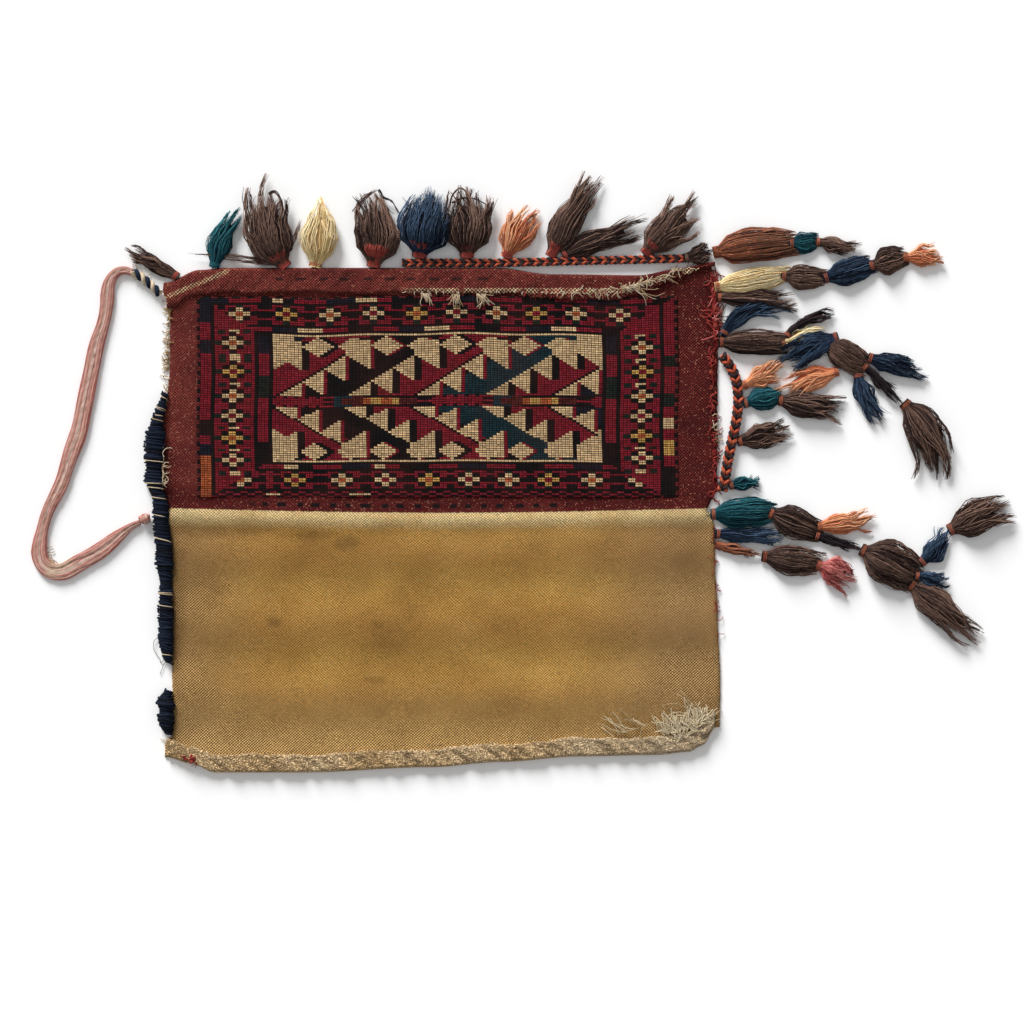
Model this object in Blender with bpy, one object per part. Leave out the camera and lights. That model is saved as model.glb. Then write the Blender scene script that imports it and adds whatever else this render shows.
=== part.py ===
"""An old woven storage bag, seams undone and opened out flat.

The frame: Z=0 is the surface it lies on, Y=0 the crease between the red pile
front (+Y) and the beige back (-Y), X=0 the middle of the cloth. Metres.
"""
import math
from dataclasses import dataclass

import bmesh
import bpy
from mathutils import Vector

# The cloth
CLOTH_WIDTH = 0.522
FRONT_HEIGHT = 0.228
BACK_HEIGHT = 0.251
EDGE_THICKNESS = 0.0022
RED_THICKNESS = 0.0030
PILE_THICKNESS = 0.0045
BACK_THICKNESS = 0.0026
HEM_THICKNESS = 0.0056
TOP_HEM_DEPTH = 0.022
BOTTOM_HEM_DEPTH = 0.022
BOTTOM_CORNER_DEPTH = 0.0095
BACK_LINE_SHARES = (0.037, 0.079, 0.121, 0.3, 0.56, 0.8)
CREASE_RISE = 0.0075
CREASE_WIDTH = 0.013
CREASE_SAG = 0.0045
RIB_RISE = 0.0005
ROUNDED_EDGE = 0.003
STEP_RUN = 0.001
REST_PATCH = 0.16

# The knotted panel and its borders
LEFT_SKIRT = 0.029
RIGHT_SKIRT = 0.036
UPPER_SKIRT = 0.027
LOWER_SKIRT = 0.011
SIDE_BORDER = 0.072
UPPER_BORDER = 0.0365
LOWER_BORDER = 0.0345
SPINE_HEIGHT = 0.011
FIELD_CELLS = 45
HALF_FIELD_CELLS = 13
CHAIN_PITCH_CELLS = 9
TOOTH_CELLS = 3

# Edge finishes, braids and strap
SEAT_GAP = 0.0003
BINDING_WIDTH = 0.013
BINDING_HEIGHT = 0.0095
BINDING_LAP = 0.18
BRAID_WIDTH = 0.0085
BRAID_STITCH = 0.0062
STRAP_WIDTH = 0.016
STRAP_THICKNESS = 0.0036
STRAP_CORD_WIDTH = 0.0085
KNOT_WIDTH = 0.011

# Tufts of wool
NECK_WIDTH = 0.0058
NECK_HEIGHT = 0.0052
COLLAR_WIDTH = 0.0072
COLLAR_START = 0.0022
COLLAR_LENGTH = 0.005
TUFT_FLATNESS = 0.42
LEAST_TUFT_HEIGHT = 0.0062
TUFT_SIDES = 8
RAGGED_REACH = 0.004

FACE_COLOURS = {
    "madder": (0.23, 0.028, 0.018),
    "crimson": (0.27, 0.018, 0.028),
    "black": (0.018, 0.013, 0.014),
    "navy": (0.016, 0.026, 0.05),
    "cream": (0.62, 0.47, 0.28),
    "orange": (0.52, 0.16, 0.04),
    "beige": (0.42, 0.28, 0.14),
}
WOOL_COLOURS = {
    "brown": (0.11, 0.07, 0.055),
    "teal": (0.012, 0.075, 0.095),
    "navy": (0.012, 0.024, 0.055),
    "yellow": (0.55, 0.42, 0.16),
    "orange": (0.55, 0.19, 0.08),
    "amber": (0.34, 0.16, 0.08),
    "pink": (0.5, 0.11, 0.09),
    "dark": (0.04, 0.028, 0.03),
    "strap pink": (0.52, 0.28, 0.23),
    "braid": (0.16, 0.06, 0.035),
}

# Where the cloth's outline leaves the rectangle: place along the side, 0 to 1, and distance outward
TOP_OUTLINE = ((0.0, -0.014), (0.06, -0.002), (0.11, 0.0), (0.60, 0.0), (0.70, -0.006), (0.86, -0.007),
               (0.93, -0.001), (1.0, 0.006))
BOTTOM_OUTLINE = ((0.0, -0.0145), (0.044, -0.0087), (0.09, 0.0), (0.25, 0.0), (0.48, -0.005), (0.61, -0.010),
                  (0.75, -0.0152), (0.89, -0.0166), (0.95, -0.0195), (0.975, -0.0255), (1.0, -0.043))
LEFT_OUTLINE = ((0.0, 0.0), (0.045, 0.003), (0.083, -0.0041), (0.2, -0.0035), (0.25, -0.0016), (0.30, 0.0025),
                (0.43, 0.003), (0.475, -0.002), (0.5, -0.0013), (0.56, -0.0055), (0.926, -0.006),
                (0.943, 0.001), (1.0, 0.0015))
RIGHT_OUTLINE = ((0.0, -0.004), (0.1, 0.002), (0.44, 0.001), (0.478, -0.009), (0.515, -0.001), (0.6, -0.0005),
                 (0.68, 0.0017), (0.82, 0.004), (1.0, 0.003))
RAW_EDGE_WAVES = ((0.05, 0.0018), (0.019, 0.001))

# The strap's route and its tie, from the cloth's mouth edge (X) and the crease (Y)
STRAP_ROUTE = ((-0.0325, 0.2245), (-0.040, 0.2265), (-0.048, 0.2235), (-0.0545, 0.213), (-0.0575, 0.192),
               (-0.0635, 0.16), (-0.071, 0.128), (-0.0765, 0.098), (-0.0875, 0.062), (-0.0985, 0.028),
               (-0.111, -0.004), (-0.119, -0.030), (-0.1195, -0.046), (-0.1115, -0.058), (-0.097, -0.061),
               (-0.081, -0.053), (-0.062, -0.040), (-0.046, -0.0275), (-0.034, -0.0175), (-0.0255, -0.0125))
STRAP_CORD_ROUTE = ((-0.0059, 0.2032), (-0.0115, 0.2092), (-0.0175, 0.2148), (-0.024, 0.2197),
                    (-0.0314, 0.2242))
# The side braid's route, from the cloth's right edge (X) and the crease (Y)
SIDE_BRAID_ROUTE = ((0.0052, 0.1445), (0.0115, 0.1375), (0.0175, 0.126), (0.0208, 0.11), (0.0205, 0.093),
                    (0.0178, 0.076), (0.0138, 0.058), (0.0105, 0.041), (0.0085, 0.028), (0.0058, 0.0165))
MOUTH_BINDING = ((0.109, 0.4), (0.099, 0.56), (0.0874, 0.8), (0.0722, 1.25), (0.0589, 1.42), (0.0437, 1.38),
                 (0.0304, 1.35), (0.0219, 1.25), (0.0114, 1.05), (0.0, 1.2), (-0.0171, 1.05), (-0.0323, 1.28),
                 (-0.0542, 1.22), (-0.0703, 0.95), (-0.0874, 1.0), (-0.125, 1.0), (-0.14, 0.8), (-0.146, 0.5))
LOWER_BINDING = ((-0.173, 0.5), (-0.181, 1.1), (-0.194, 1.05), (-0.206, 1.0), (-0.214, 0.55))


@dataclass(frozen=True)
class Tuft:
    """One bunch of wool, tied at its neck to whatever carries it.

    The place is a share of the top edge, a distance down the right edge from the top corner, a
    distance above the crease on the right edge or the side braid, or a distance across the end of
    the tuft that carries it. Heading is in degrees from +X.
    """

    name: str
    wool: str
    carrier: str
    place: float
    length: float
    heading: float
    width: float
    bend: float = 0.0
    blunt: bool = False


TUFTS = (
    Tuft("corner_tuft", "brown", "left_corner", 0.0, 0.052, 150, 0.013, 20),
    Tuft("teal_top_tassel", "teal", "top_edge", 0.096, 0.050, 80, 0.020, -20),
    Tuft("brown_top_tassel", "brown", "top_edge", 0.219, 0.076, 114, 0.037, -30),
    Tuft("yellow_top_tassel", "yellow", "top_edge", 0.279, 0.063, 92, 0.026, 10),
    Tuft("swept_top_tassel", "brown", "top_edge", 0.377, 0.070, 94, 0.034, 24),
    Tuft("navy_top_tassel", "navy", "top_braid", 0.460, 0.060, 86, 0.042),
    Tuft("looped_top_tassel", "brown", "top_braid", 0.547, 0.064, 84, 0.038),
    Tuft("orange_top_tassel", "orange", "top_braid", 0.618, 0.050, 62, 0.028, -10),
    Tuft("long_top_tassel", "brown", "top_braid", 0.699, 0.088, 62, 0.027, -8),
    Tuft("long_tassel_side_lock", "brown", "top_braid", 0.721, 0.083, 22, 0.022, -8),
    Tuft("last_top_tassel", "brown", "top_braid", 0.870, 0.068, 44, 0.032, -10),
    Tuft("corner_knot", "brown", "braid_end", 0.0, 0.028, 12, 0.018),
    Tuft("amber_tuft", "amber", "corner_knot", 0.0, 0.072, 8, 0.029, -8),
    Tuft("short_teal_tuft", "teal", "amber_tuft", 0.0, 0.025, 3, 0.017),
    Tuft("first_end_tuft", "brown", "short_teal_tuft", 0.0, 0.039, -10, 0.014),
    Tuft("yellow_tuft", "yellow", "upper_edge", 0.0245, 0.063, 10, 0.018),
    Tuft("brown_second_tuft", "brown", "yellow_tuft", 0.0, 0.040, -4, 0.019),
    Tuft("navy_third_tuft", "navy", "brown_second_tuft", 0.0, 0.045, 15, 0.020),
    Tuft("brown_fourth_tuft", "brown", "navy_third_tuft", 0.0, 0.033, 15, 0.020),
    Tuft("orange_fifth_tuft", "orange", "brown_fourth_tuft", 0.0, 0.038, 3, 0.016),
    Tuft("brown_edge_tuft", "brown", "upper_edge", 0.035, 0.074, -4, 0.017),
    Tuft("navy_arched_tuft", "navy", "upper_edge", 0.069, 0.066, 13, 0.0135, -36),
    Tuft("brown_bundle", "brown", "upper_edge", 0.0785, 0.064, -3, 0.022, 0, True),
    Tuft("dark_looped_tuft", "dark", "brown_bundle", 0.0082, 0.052, 24, 0.0075, -56),
    Tuft("yellow_link_tuft", "yellow", "brown_bundle", 0.0, 0.036, 9, 0.0105),
    Tuft("navy_under_tuft", "navy", "brown_bundle", -0.0082, 0.036, -10, 0.0125, 12),
    Tuft("brown_falling_tuft", "brown", "yellow_link_tuft", 0.0, 0.043, -32, 0.026, 0, True),
    Tuft("navy_forked_tuft", "navy", "brown_falling_tuft", -0.0086, 0.048, -66, 0.014, 34),
    Tuft("dark_link", "dark", "brown_falling_tuft", 0.0, 0.052, -43, 0.0085),
    Tuft("navy_pointing_tuft", "navy", "brown_falling_tuft", 0.0086, 0.054, -12, 0.0165, 14),
    Tuft("long_end_tuft", "brown", "dark_link", 0.0, 0.080, -64, 0.034, -40),
    Tuft("orange_braid_tuft", "orange", "side_braid", 0.1155, 0.043, 26, 0.013),
    Tuft("teal_braid_tuft", "teal", "side_braid", 0.099, 0.033, 14, 0.017, 0, True),
    Tuft("orange_lower_tuft", "orange", "teal_braid_tuft", 0.0045, 0.057, 20, 0.0135),
    Tuft("brown_lower_tuft", "brown", "teal_braid_tuft", -0.0045, 0.062, -10, 0.022),
    Tuft("brown_braid_tuft", "brown", "side_braid", 0.063, 0.050, 12, 0.018),
    Tuft("small_teal_tuft", "teal", "side_braid", 0.021, 0.028, 10, 0.012),
    Tuft("teal_fan_tuft", "teal", "right_edge", -0.006, 0.055, 2, 0.025),
    Tuft("brown_fan_tuft", "brown", "teal_fan_tuft", 0.0, 0.048, -22, 0.028, 0, True),
    Tuft("orange_straight_tuft", "orange", "brown_fan_tuft", 0.0042, 0.052, 7, 0.0155),
    Tuft("dark_cross_link", "dark", "brown_fan_tuft", -0.0042, 0.046, -17, 0.0095),
    Tuft("navy_low_tuft", "navy", "right_edge", -0.0245, 0.063, -3, 0.0125),
    Tuft("twisted_low_link", "amber", "right_edge", -0.0345, 0.045, -15, 0.0085),
    Tuft("brown_low_tuft", "brown", "twisted_low_link", 0.0, 0.052, -8, 0.026),
    Tuft("pink_low_tuft", "pink", "brown_low_tuft", 0.0, 0.038, -22, 0.024),
    Tuft("big_brown_tuft", "brown", "dark_cross_link", 0.0, 0.056, -26, 0.040, 0, True),
    Tuft("navy_rising_tuft", "navy", "big_brown_tuft", 0.0125, 0.042, 48, 0.020, 28),
    Tuft("small_navy_tuft", "navy", "big_brown_tuft", 0.0, 0.032, -14, 0.0135),
    Tuft("last_brown_tuft", "brown", "big_brown_tuft", -0.0098, 0.080, -38, 0.029),
    Tuft("upper_end_tuft", "brown", "navy_rising_tuft", 0.0, 0.061, 26, 0.032),
)


def clear_scene():
    """Remove every object that the new file starts with."""
    for item in list(bpy.data.objects):
        bpy.data.objects.remove(item, do_unlink=True)


def make_material(name, colour, roughness=0.92):
    """A plain dyed wool or cotton."""
    material = bpy.data.materials.new(name)
    material.use_nodes = True
    shader = material.node_tree.nodes["Principled BSDF"]
    shader.inputs["Base Color"].default_value = (*colour, 1.0)
    shader.inputs["Roughness"].default_value = roughness
    shader.inputs["Metallic"].default_value = 0.0
    return material


def add_object(name, bm, materials, smooth=True):
    """Turn a finished mesh into a named object, its faces pointing out."""
    bmesh.ops.recalc_face_normals(bm, faces=bm.faces)
    mesh = bpy.data.meshes.new(name)
    bm.to_mesh(mesh)
    bm.free()
    for material in materials:
        mesh.materials.append(material)
    if smooth:
        mesh.shade_smooth()
        mesh.set_sharp_from_angle(angle=math.radians(40))
    item = bpy.data.objects.new(name, mesh)
    bpy.context.scene.collection.objects.link(item)
    return item


def between(points, place):
    """Read a value from (place, value) pairs, easing from one to the next."""
    for (start, low), (end, high) in zip(points, points[1:]):
        if place <= end:
            share = max(0.0, (place - start) / (end - start))
            ease = share * share * (3 - 2 * share)
            return low + (high - low) * ease
    return points[-1][1]


def top_edge(x):
    """Y of the cloth's top edge."""
    return FRONT_HEIGHT + between(TOP_OUTLINE, x / CLOTH_WIDTH + 0.5)


def bottom_edge(x):
    """Y of the cloth's bottom edge, where the back's hem is folded."""
    return -BACK_HEIGHT - between(BOTTOM_OUTLINE, x / CLOTH_WIDTH + 0.5)


def height_share(y):
    """How far down the whole cloth Y lies, from 0 at the top to 1 at the bottom."""
    return (FRONT_HEIGHT - y) / (FRONT_HEIGHT + BACK_HEIGHT)


def crease(x):
    """Y of the crease, which sags a little between the cloth's two sides."""
    return -CREASE_SAG * math.sin(math.pi * min(1.0, max(0.0, x / CLOTH_WIDTH + 0.5)))


def left_edge(y):
    """X of the mouth edge."""
    return -CLOTH_WIDTH / 2 - between(LEFT_OUTLINE, height_share(y))


def right_edge(y):
    """X of the right edge."""
    return CLOTH_WIDTH / 2 + between(RIGHT_OUTLINE, height_share(y))


def raw_edge_wave(x):
    """How far a hem's raw edge wanders from a straight line."""
    return sum(size * math.sin(math.tau * x / pitch / 2) for pitch, size in RAW_EDGE_WAVES)


def spread(start, end, shares):
    """Places between two ends, at the given shares of the way."""
    return [start + (end - start) * share for share in shares]


def border_shares():
    """Lines across a border: guard, margin, petal, centre, petal, margin, guard, counted in knots."""
    knots = (0, 5, 7.5, 9.5, 11.5, 13.5, 16, 21)
    return [knot / knots[-1] for knot in knots]


def column_lines():
    """X of each line that runs down the cloth, apart from its two edges."""
    left = -CLOTH_WIDTH / 2 + LEFT_SKIRT
    right = CLOTH_WIDTH / 2 - RIGHT_SKIRT
    shares = border_shares()
    field = [cell / FIELD_CELLS for cell in range(1, FIELD_CELLS)]
    lines = spread(left, left + SIDE_BORDER, shares)
    lines += spread(left + SIDE_BORDER, right - SIDE_BORDER, field)
    return lines + spread(right - SIDE_BORDER, right, shares)


def panel_rows():
    """Y of each line that crosses the panel, from its top to its bottom."""
    top = FRONT_HEIGHT - UPPER_SKIRT
    bottom = LOWER_SKIRT
    shares = border_shares()
    spine_top = (top - UPPER_BORDER + bottom + LOWER_BORDER + SPINE_HEIGHT) / 2
    half = [cell / HALF_FIELD_CELLS for cell in range(1, HALF_FIELD_CELLS)]
    rows = spread(top, top - UPPER_BORDER, shares)
    rows += spread(top - UPPER_BORDER, spine_top, half)
    rows += [spine_top, spine_top - SPINE_HEIGHT]
    rows += spread(spine_top - SPINE_HEIGHT, bottom + LOWER_BORDER, half)
    return rows + spread(bottom + LOWER_BORDER, bottom, shares)


def in_tooth(column, row):
    """Whether a place in the half field lies in one of the cream saw teeth or diamonds."""
    for chain in range(-1, FIELD_CELLS // CHAIN_PITCH_CELLS + 1):
        start = 1 + chain * CHAIN_PITCH_CELLS
        for tooth in range(4):
            run = column - start - tooth * TOOTH_CELLS
            if 0 <= run < TOOTH_CELLS and abs(row - tooth * TOOTH_CELLS) <= run:
                return True
        linked = abs(column - start - CHAIN_PITCH_CELLS) + abs(row - 10.5) < 2.5
        if linked and column < start + CHAIN_PITCH_CELLS + TOOTH_CELLS:
            return True
        if abs(column - start - 5) + abs(row - 10.5) < 2.5:
            return True
    return False


def field_dye(column, row):
    """Colour of the half field at a place counted in cells from its left end and from the spine."""
    if in_tooth(column, row):
        return "cream"
    band = (column - row - 1) // CHAIN_PITCH_CELLS
    return "black" if band % 2 == 0 else "crimson"


def flower_dye(along, across):
    """Colour of a border at a place counted along it and across it in its own cells."""
    if across in (0, 6):
        return ("navy", "crimson", "crimson", "crimson", "black", "crimson")[int(along // 2) % 6]
    step = int(along) % 4
    if across == 3 and step == 1:
        return "orange"
    if (across == 3 and step in (0, 2)) or (across in (2, 4) and step == 1):
        return "cream"
    return "black" if step == 3 and across in (1, 5) else "crimson"


def panel_dye(column, row, columns, rows):
    """Colour of the panel at a place counted in cells from its upper left corner."""
    border = 7
    far_column, far_row = columns - border, rows - border
    in_columns, in_rows = border <= column < far_column, border <= row < far_row
    if in_columns and in_rows:
        up = border + HALF_FIELD_CELLS - row
        down = row - border - HALF_FIELD_CELLS - 1
        if up < 0 and down < 0:
            return ("crimson", "black", "navy", "orange", "crimson")[int(column // 4) % 5]
        return field_dye(column - border, up if up >= 0 else down)
    if in_columns:
        return flower_dye(column - border, int(row) if row < border else int(rows - row))
    side = int(column) if column < border else int(columns - column)
    if in_rows or side in (0, 6):
        return flower_dye(row, side)
    return flower_dye(column, int(row) if row < border else int(rows - row))


def cloth_rows():
    """The lines across the cloth from top to bottom, each as Y of X, height, and the zone below it."""
    def line(y):
        return lambda x: y

    def hem_line(x):
        return top_edge(x) - TOP_HEM_DEPTH - raw_edge_wave(x)

    def back_hem_line(x):
        return bottom_edge(x) + BOTTOM_HEM_DEPTH + raw_edge_wave(x)

    def back_line(share):
        return lambda x: back_top(x) + (back_hem_line(x) + STEP_RUN - back_top(x)) * share

    def back_top(x):
        return crease(x) - CREASE_WIDTH

    panel = panel_rows()
    rows = [(top_edge, EDGE_THICKNESS, "madder"),
            (lambda x: top_edge(x) - ROUNDED_EDGE, HEM_THICKNESS, "madder"),
            (hem_line, HEM_THICKNESS, "madder"),
            (lambda x: hem_line(x) - STEP_RUN, RED_THICKNESS, "madder"),
            (line(panel[0] + STEP_RUN), RED_THICKNESS, "madder")]
    rows += [(line(y), PILE_THICKNESS, "panel") for y in panel[:-1]]
    rows += [(line(panel[-1]), PILE_THICKNESS, "madder"),
             (line(panel[-1] - STEP_RUN), RED_THICKNESS, "madder"),
             (crease, RED_THICKNESS, "beige"),
             (lambda x: crease(x) - CREASE_WIDTH / 2, CREASE_RISE, "beige"),
             (back_top, BACK_THICKNESS, "beige")]
    rows += [(back_line(share), BACK_THICKNESS, "beige") for share in BACK_LINE_SHARES]
    rows += [(lambda x: back_hem_line(x) + STEP_RUN, BACK_THICKNESS, "beige"),
             (back_hem_line, HEM_THICKNESS, "beige"),
             (lambda x: bottom_edge(x) + BOTTOM_CORNER_DEPTH, HEM_THICKNESS, "beige"),
             (lambda x: bottom_edge(x) + ROUNDED_EDGE, HEM_THICKNESS, "beige"),
             (bottom_edge, EDGE_THICKNESS, "beige")]
    return rows


def cloth_columns():
    """The lines down the cloth from left to right, each as X of Y."""
    def line(x):
        return lambda y: x

    panel = column_lines()
    columns = [left_edge, lambda y: left_edge(y) + ROUNDED_EDGE, line(panel[0] - STEP_RUN)]
    columns += [line(x) for x in panel]
    return columns + [line(panel[-1] + STEP_RUN), lambda y: right_edge(y) - ROUNDED_EDGE, right_edge]


def build_cloth(materials):
    """The one long cloth: pile front, plain back, a hem folded to the face at each end."""
    rows, columns = cloth_rows(), cloth_columns()
    panel_top = next(index for index, row in enumerate(rows) if row[2] == "panel")
    panel_count = sum(row[2] == "panel" for row in rows)
    first, last = 3, len(columns) - 4
    slots = {name: index for index, name in enumerate(FACE_COLOURS)}
    bm = bmesh.new()
    grid = []
    for index, (y_of, height, zone) in enumerate(rows):
        line = []
        for place, x_of in enumerate(columns):
            x = x_of(y_of(x_of(0.0)))
            y = y_of(x)
            z = height
            if place in (0, len(columns) - 1):
                z = EDGE_THICKNESS
            elif height == PILE_THICKNESS and not first <= place <= last:
                z = RED_THICKNESS
            elif height == BACK_THICKNESS and place % 2:
                z = height + RIB_RISE
            line.append(bm.verts.new((x, y, z)))
        grid.append(line)
    for index in range(len(rows) - 1):
        zone = rows[index][2]
        for place in range(len(columns) - 1):
            corners = (grid[index][place], grid[index + 1][place], grid[index + 1][place + 1],
                       grid[index][place + 1])
            if zone == "panel" and first <= place < last:
                add_dyed_cell(bm, corners, place - first, index - panel_top, last - first, panel_count, slots)
            else:
                bm.faces.new(corners).material_index = slots["madder" if zone == "panel" else zone]
    merge_flat_faces(bm)
    close_underside(bm)
    return add_object("bag_cloth", bm, materials, smooth=False)


def add_dyed_cell(bm, corners, column, row, columns, rows, slots):
    """One cell of the panel, cut in four along its diagonals, each quarter in its own dye."""
    centre = bm.verts.new(sum((corner.co for corner in corners), Vector()) / 4)
    quarters = ((0.17, 0.5), (0.5, 0.83), (0.83, 0.5), (0.5, 0.17))
    for index, (across, down) in enumerate(quarters):
        face = bm.faces.new((corners[index], corners[(index + 1) % 4], centre))
        face.material_index = slots[panel_dye(column + across, row + down, columns, rows)]


def merge_flat_faces(bm):
    """Join neighbours that lie in one plane and share a dye."""
    bm.normal_update()
    bmesh.ops.dissolve_limit(bm, angle_limit=math.radians(0.6), use_dissolve_boundaries=False,
                             verts=bm.verts, edges=bm.edges, delimit={"MATERIAL"})


def close_underside(bm):
    """Drop a wall from the outline to the floor and fill the underside round a square patch."""
    rim = [edge for edge in bm.edges if edge.is_boundary]
    made = bmesh.ops.extrude_edge_only(bm, edges=rim)["geom"]
    for vert in (part for part in made if isinstance(part, bmesh.types.BMVert)):
        vert.co.z = 0.0
    floor_loop = [edge for edge in made if isinstance(edge, bmesh.types.BMEdge) and edge.is_boundary]
    half = REST_PATCH / 2
    patch = [bm.verts.new((x, y, 0.0)) for x, y in ((-half, -half), (-half, half), (half, half), (half, -half))]
    patch_face = bm.faces.new(patch)
    bmesh.ops.triangle_fill(bm, edges=floor_loop + list(patch_face.edges), use_beauty=True,
                            normal=(0.0, 0.0, -1.0))
    for face in bm.faces:
        if abs(face.calc_center_median().z) < EDGE_THICKNESS / 4:
            face.material_index = 0


def add_ring(bm, centre, heading, width, height, sides, reach=0.0, groove=0.0):
    """One cross section of a bundle that lies on the floor, as a ring of points."""
    across = Vector((-math.sin(heading), math.cos(heading), 0.0))
    along = Vector((math.cos(heading), math.sin(heading), 0.0))
    ring = []
    for index in range(sides):
        angle = math.tau * index / sides
        size = 1 - groove * (index % 2)
        offset = across * (math.cos(angle) * width / 2 * size)
        offset += along * (reach * math.cos(angle) ** 2 * (0.5 + 0.5 * (index % 2)))
        ring.append(bm.verts.new(centre + offset + Vector((0, 0, (1 + math.sin(angle) * size) * height / 2))))
    return ring


def join_rings(bm, rings, start, end):
    """Skin a row of rings and close each end with a fan round its middle point."""
    sides = len(rings[0])
    for ring, following in zip(rings, rings[1:]):
        for index in range(sides):
            ahead = (index + 1) % sides
            bm.faces.new((ring[index], ring[ahead], following[ahead], following[index]))
    for ring, centre in ((rings[0], start), (rings[-1], end)):
        middle = bm.verts.new(centre)
        for index in range(sides):
            bm.faces.new((ring[index], ring[(index + 1) % sides], middle))


def turn(heading):
    """A unit vector along a heading given in radians."""
    return Vector((math.cos(heading), math.sin(heading), 0.0))


def build_tuft(tuft, start, seat_heading, material):
    """A bound neck that swells into a bunch of wool and thins to a ragged tip. Returns its end."""
    belly_height = max(LEAST_TUFT_HEIGHT, tuft.width * TUFT_FLATNESS)
    collar_end = COLLAR_START + COLLAR_LENGTH
    tip_width = tuft.width * (0.78 if tuft.blunt else 0.5)
    collar_width = min(COLLAR_WIDTH, tuft.width)
    stations = ((0.0, NECK_WIDTH, NECK_HEIGHT, 0.0), (COLLAR_START, collar_width, NECK_HEIGHT, 0.0),
                (collar_end, collar_width, NECK_HEIGHT, 0.0),
                (collar_end + 0.22 * (tuft.length - collar_end), tuft.width * 0.72, belly_height * 0.85, 0.06),
                (collar_end + 0.55 * (tuft.length - collar_end), tuft.width, belly_height, 0.14),
                (tuft.length * 0.86, tuft.width * 0.86, belly_height * 0.8, 0.14),
                (tuft.length, tip_width, NECK_HEIGHT, 0.0))
    bm = bmesh.new()
    rings = []
    point, travelled = start.copy(), 0.0
    for distance, width, height, groove in stations:
        own_heading = math.radians(tuft.heading + tuft.bend * (distance / tuft.length - 0.5))
        lean = min(1.0, distance / collar_end)
        heading = seat_heading + (own_heading - seat_heading) * lean
        point = point + turn(heading) * (distance - travelled)
        travelled = distance
        last = distance == tuft.length
        reach = 0.0 if tuft.blunt or not last else RAGGED_REACH
        back = turn(heading) * (-RAGGED_REACH / 2 if reach else 0.0)
        rings.append(add_ring(bm, point + back, heading, width, height, TUFT_SIDES, reach, groove))
    rise = Vector((0, 0, NECK_HEIGHT / 2))
    join_rings(bm, rings, start + rise, point + rise)
    add_object(tuft.name, bm, [material])
    return point, heading


def top_braid_middle(x):
    """Y of the top braid's middle: against the edge where that is straight, then on across the dip."""
    return FRONT_HEIGHT + SEAT_GAP + BRAID_WIDTH / 2 + max(0.0, x / CLOTH_WIDTH - 0.1) * 0.012


def top_braid_top(x):
    """Y of the top braid's upper side."""
    return top_braid_middle(x) + BRAID_WIDTH / 2


def braid_ends():
    """X where the top braid begins and ends."""
    return CLOTH_WIDTH * (0.43 - 0.5), CLOTH_WIDTH * (0.941 - 0.5)


def build_top_braid(material):
    """A plump braid sewn along the top edge, its strands crossing left and right in turn."""
    start, end = braid_ends()
    count = round((end - start) / BRAID_STITCH)
    bm = bmesh.new()
    rings = []
    for index in range(count + 1):
        x = start + (end - start) * index / count
        centre = Vector((x, top_braid_middle(x), 0.0))
        size = 0.86 if index in (0, count) else (0.88 if index % 2 else 1.0)
        rings.append(add_ring(bm, centre, 0.0, BRAID_WIDTH * size, BRAID_WIDTH * 0.75 * size, 8))
    rise = Vector((0, 0, BRAID_WIDTH * 0.75 * 0.86 / 2))
    join_rings(bm, rings, Vector((start, top_braid_middle(start), 0)) + rise,
               Vector((end, top_braid_middle(end), 0)) + rise)
    add_object("top_braid", bm, [material])


def binding_middle(y, share):
    """X of a binding's middle. Its belly laps a little over the cloth's thin edge."""
    return left_edge(y) - SEAT_GAP - BINDING_WIDTH * share / 2 * (1 - BINDING_LAP)


def build_binding(name, stations, material):
    """Lumpy overcast wool along the mouth edge, from (Y, share of full width) stations."""
    bm = bmesh.new()
    rings = []
    for index, (y, share) in enumerate(stations):
        width = BINDING_WIDTH * share
        centre = Vector((binding_middle(y, share), y, 0.0))
        height = BINDING_HEIGHT * min(1.0, 0.55 + 0.45 * share)
        rings.append(add_ring(bm, centre, -math.pi / 2, width, height, 8, groove=0.08 * (index % 2)))
    ends = [sum((vert.co for vert in ring), Vector()) / len(ring) for ring in (rings[0], rings[-1])]
    join_rings(bm, rings, *ends)
    add_object(name, bm, [material])


def binding_outside(y):
    """The least X that the mouth binding reaches near a place above the crease."""
    near = [(place, share) for place, share in MOUTH_BINDING if abs(place - y) < 0.014]
    return min(binding_middle(place, share) - BINDING_WIDTH * share / 2 for place, share in near)


def smooth_route(points, per_span):
    """Points on one smooth curve through the route's own points."""
    padded = [points[0] * 2 - points[1], *points, points[-1] * 2 - points[-2]]
    route = []
    for a, b, c, d in zip(padded, padded[1:], padded[2:], padded[3:]):
        for step in range(per_span):
            t = step / per_span
            route.append(0.5 * (2 * b + (c - a) * t + (2 * a - 5 * b + 4 * c - d) * t * t
                                + (3 * b - a - 3 * c + d) * t ** 3))
    return [*route, points[-1].copy()]


def build_cord(name, route, width, thickness, material, sides_level):
    """A cord along a route; one that is wider than thick lies flat."""
    curve = bpy.data.curves.new(name, "CURVE")
    curve.dimensions = "3D"
    curve.twist_mode = "Z_UP"
    curve.bevel_depth = thickness / 2
    curve.extrude = (width - thickness) / 2
    curve.bevel_resolution = sides_level
    curve.use_fill_caps = True
    spline = curve.splines.new("POLY")
    spline.points.add(len(route) - 1)
    for point, place in zip(spline.points, route):
        point.co = (place.x, place.y, thickness / 2, 1.0)
        point.tilt = math.pi / 2 if width > thickness else 0.0
    curve.materials.append(material)
    item = bpy.data.objects.new(name, curve)
    bpy.context.scene.collection.objects.link(item)


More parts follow.
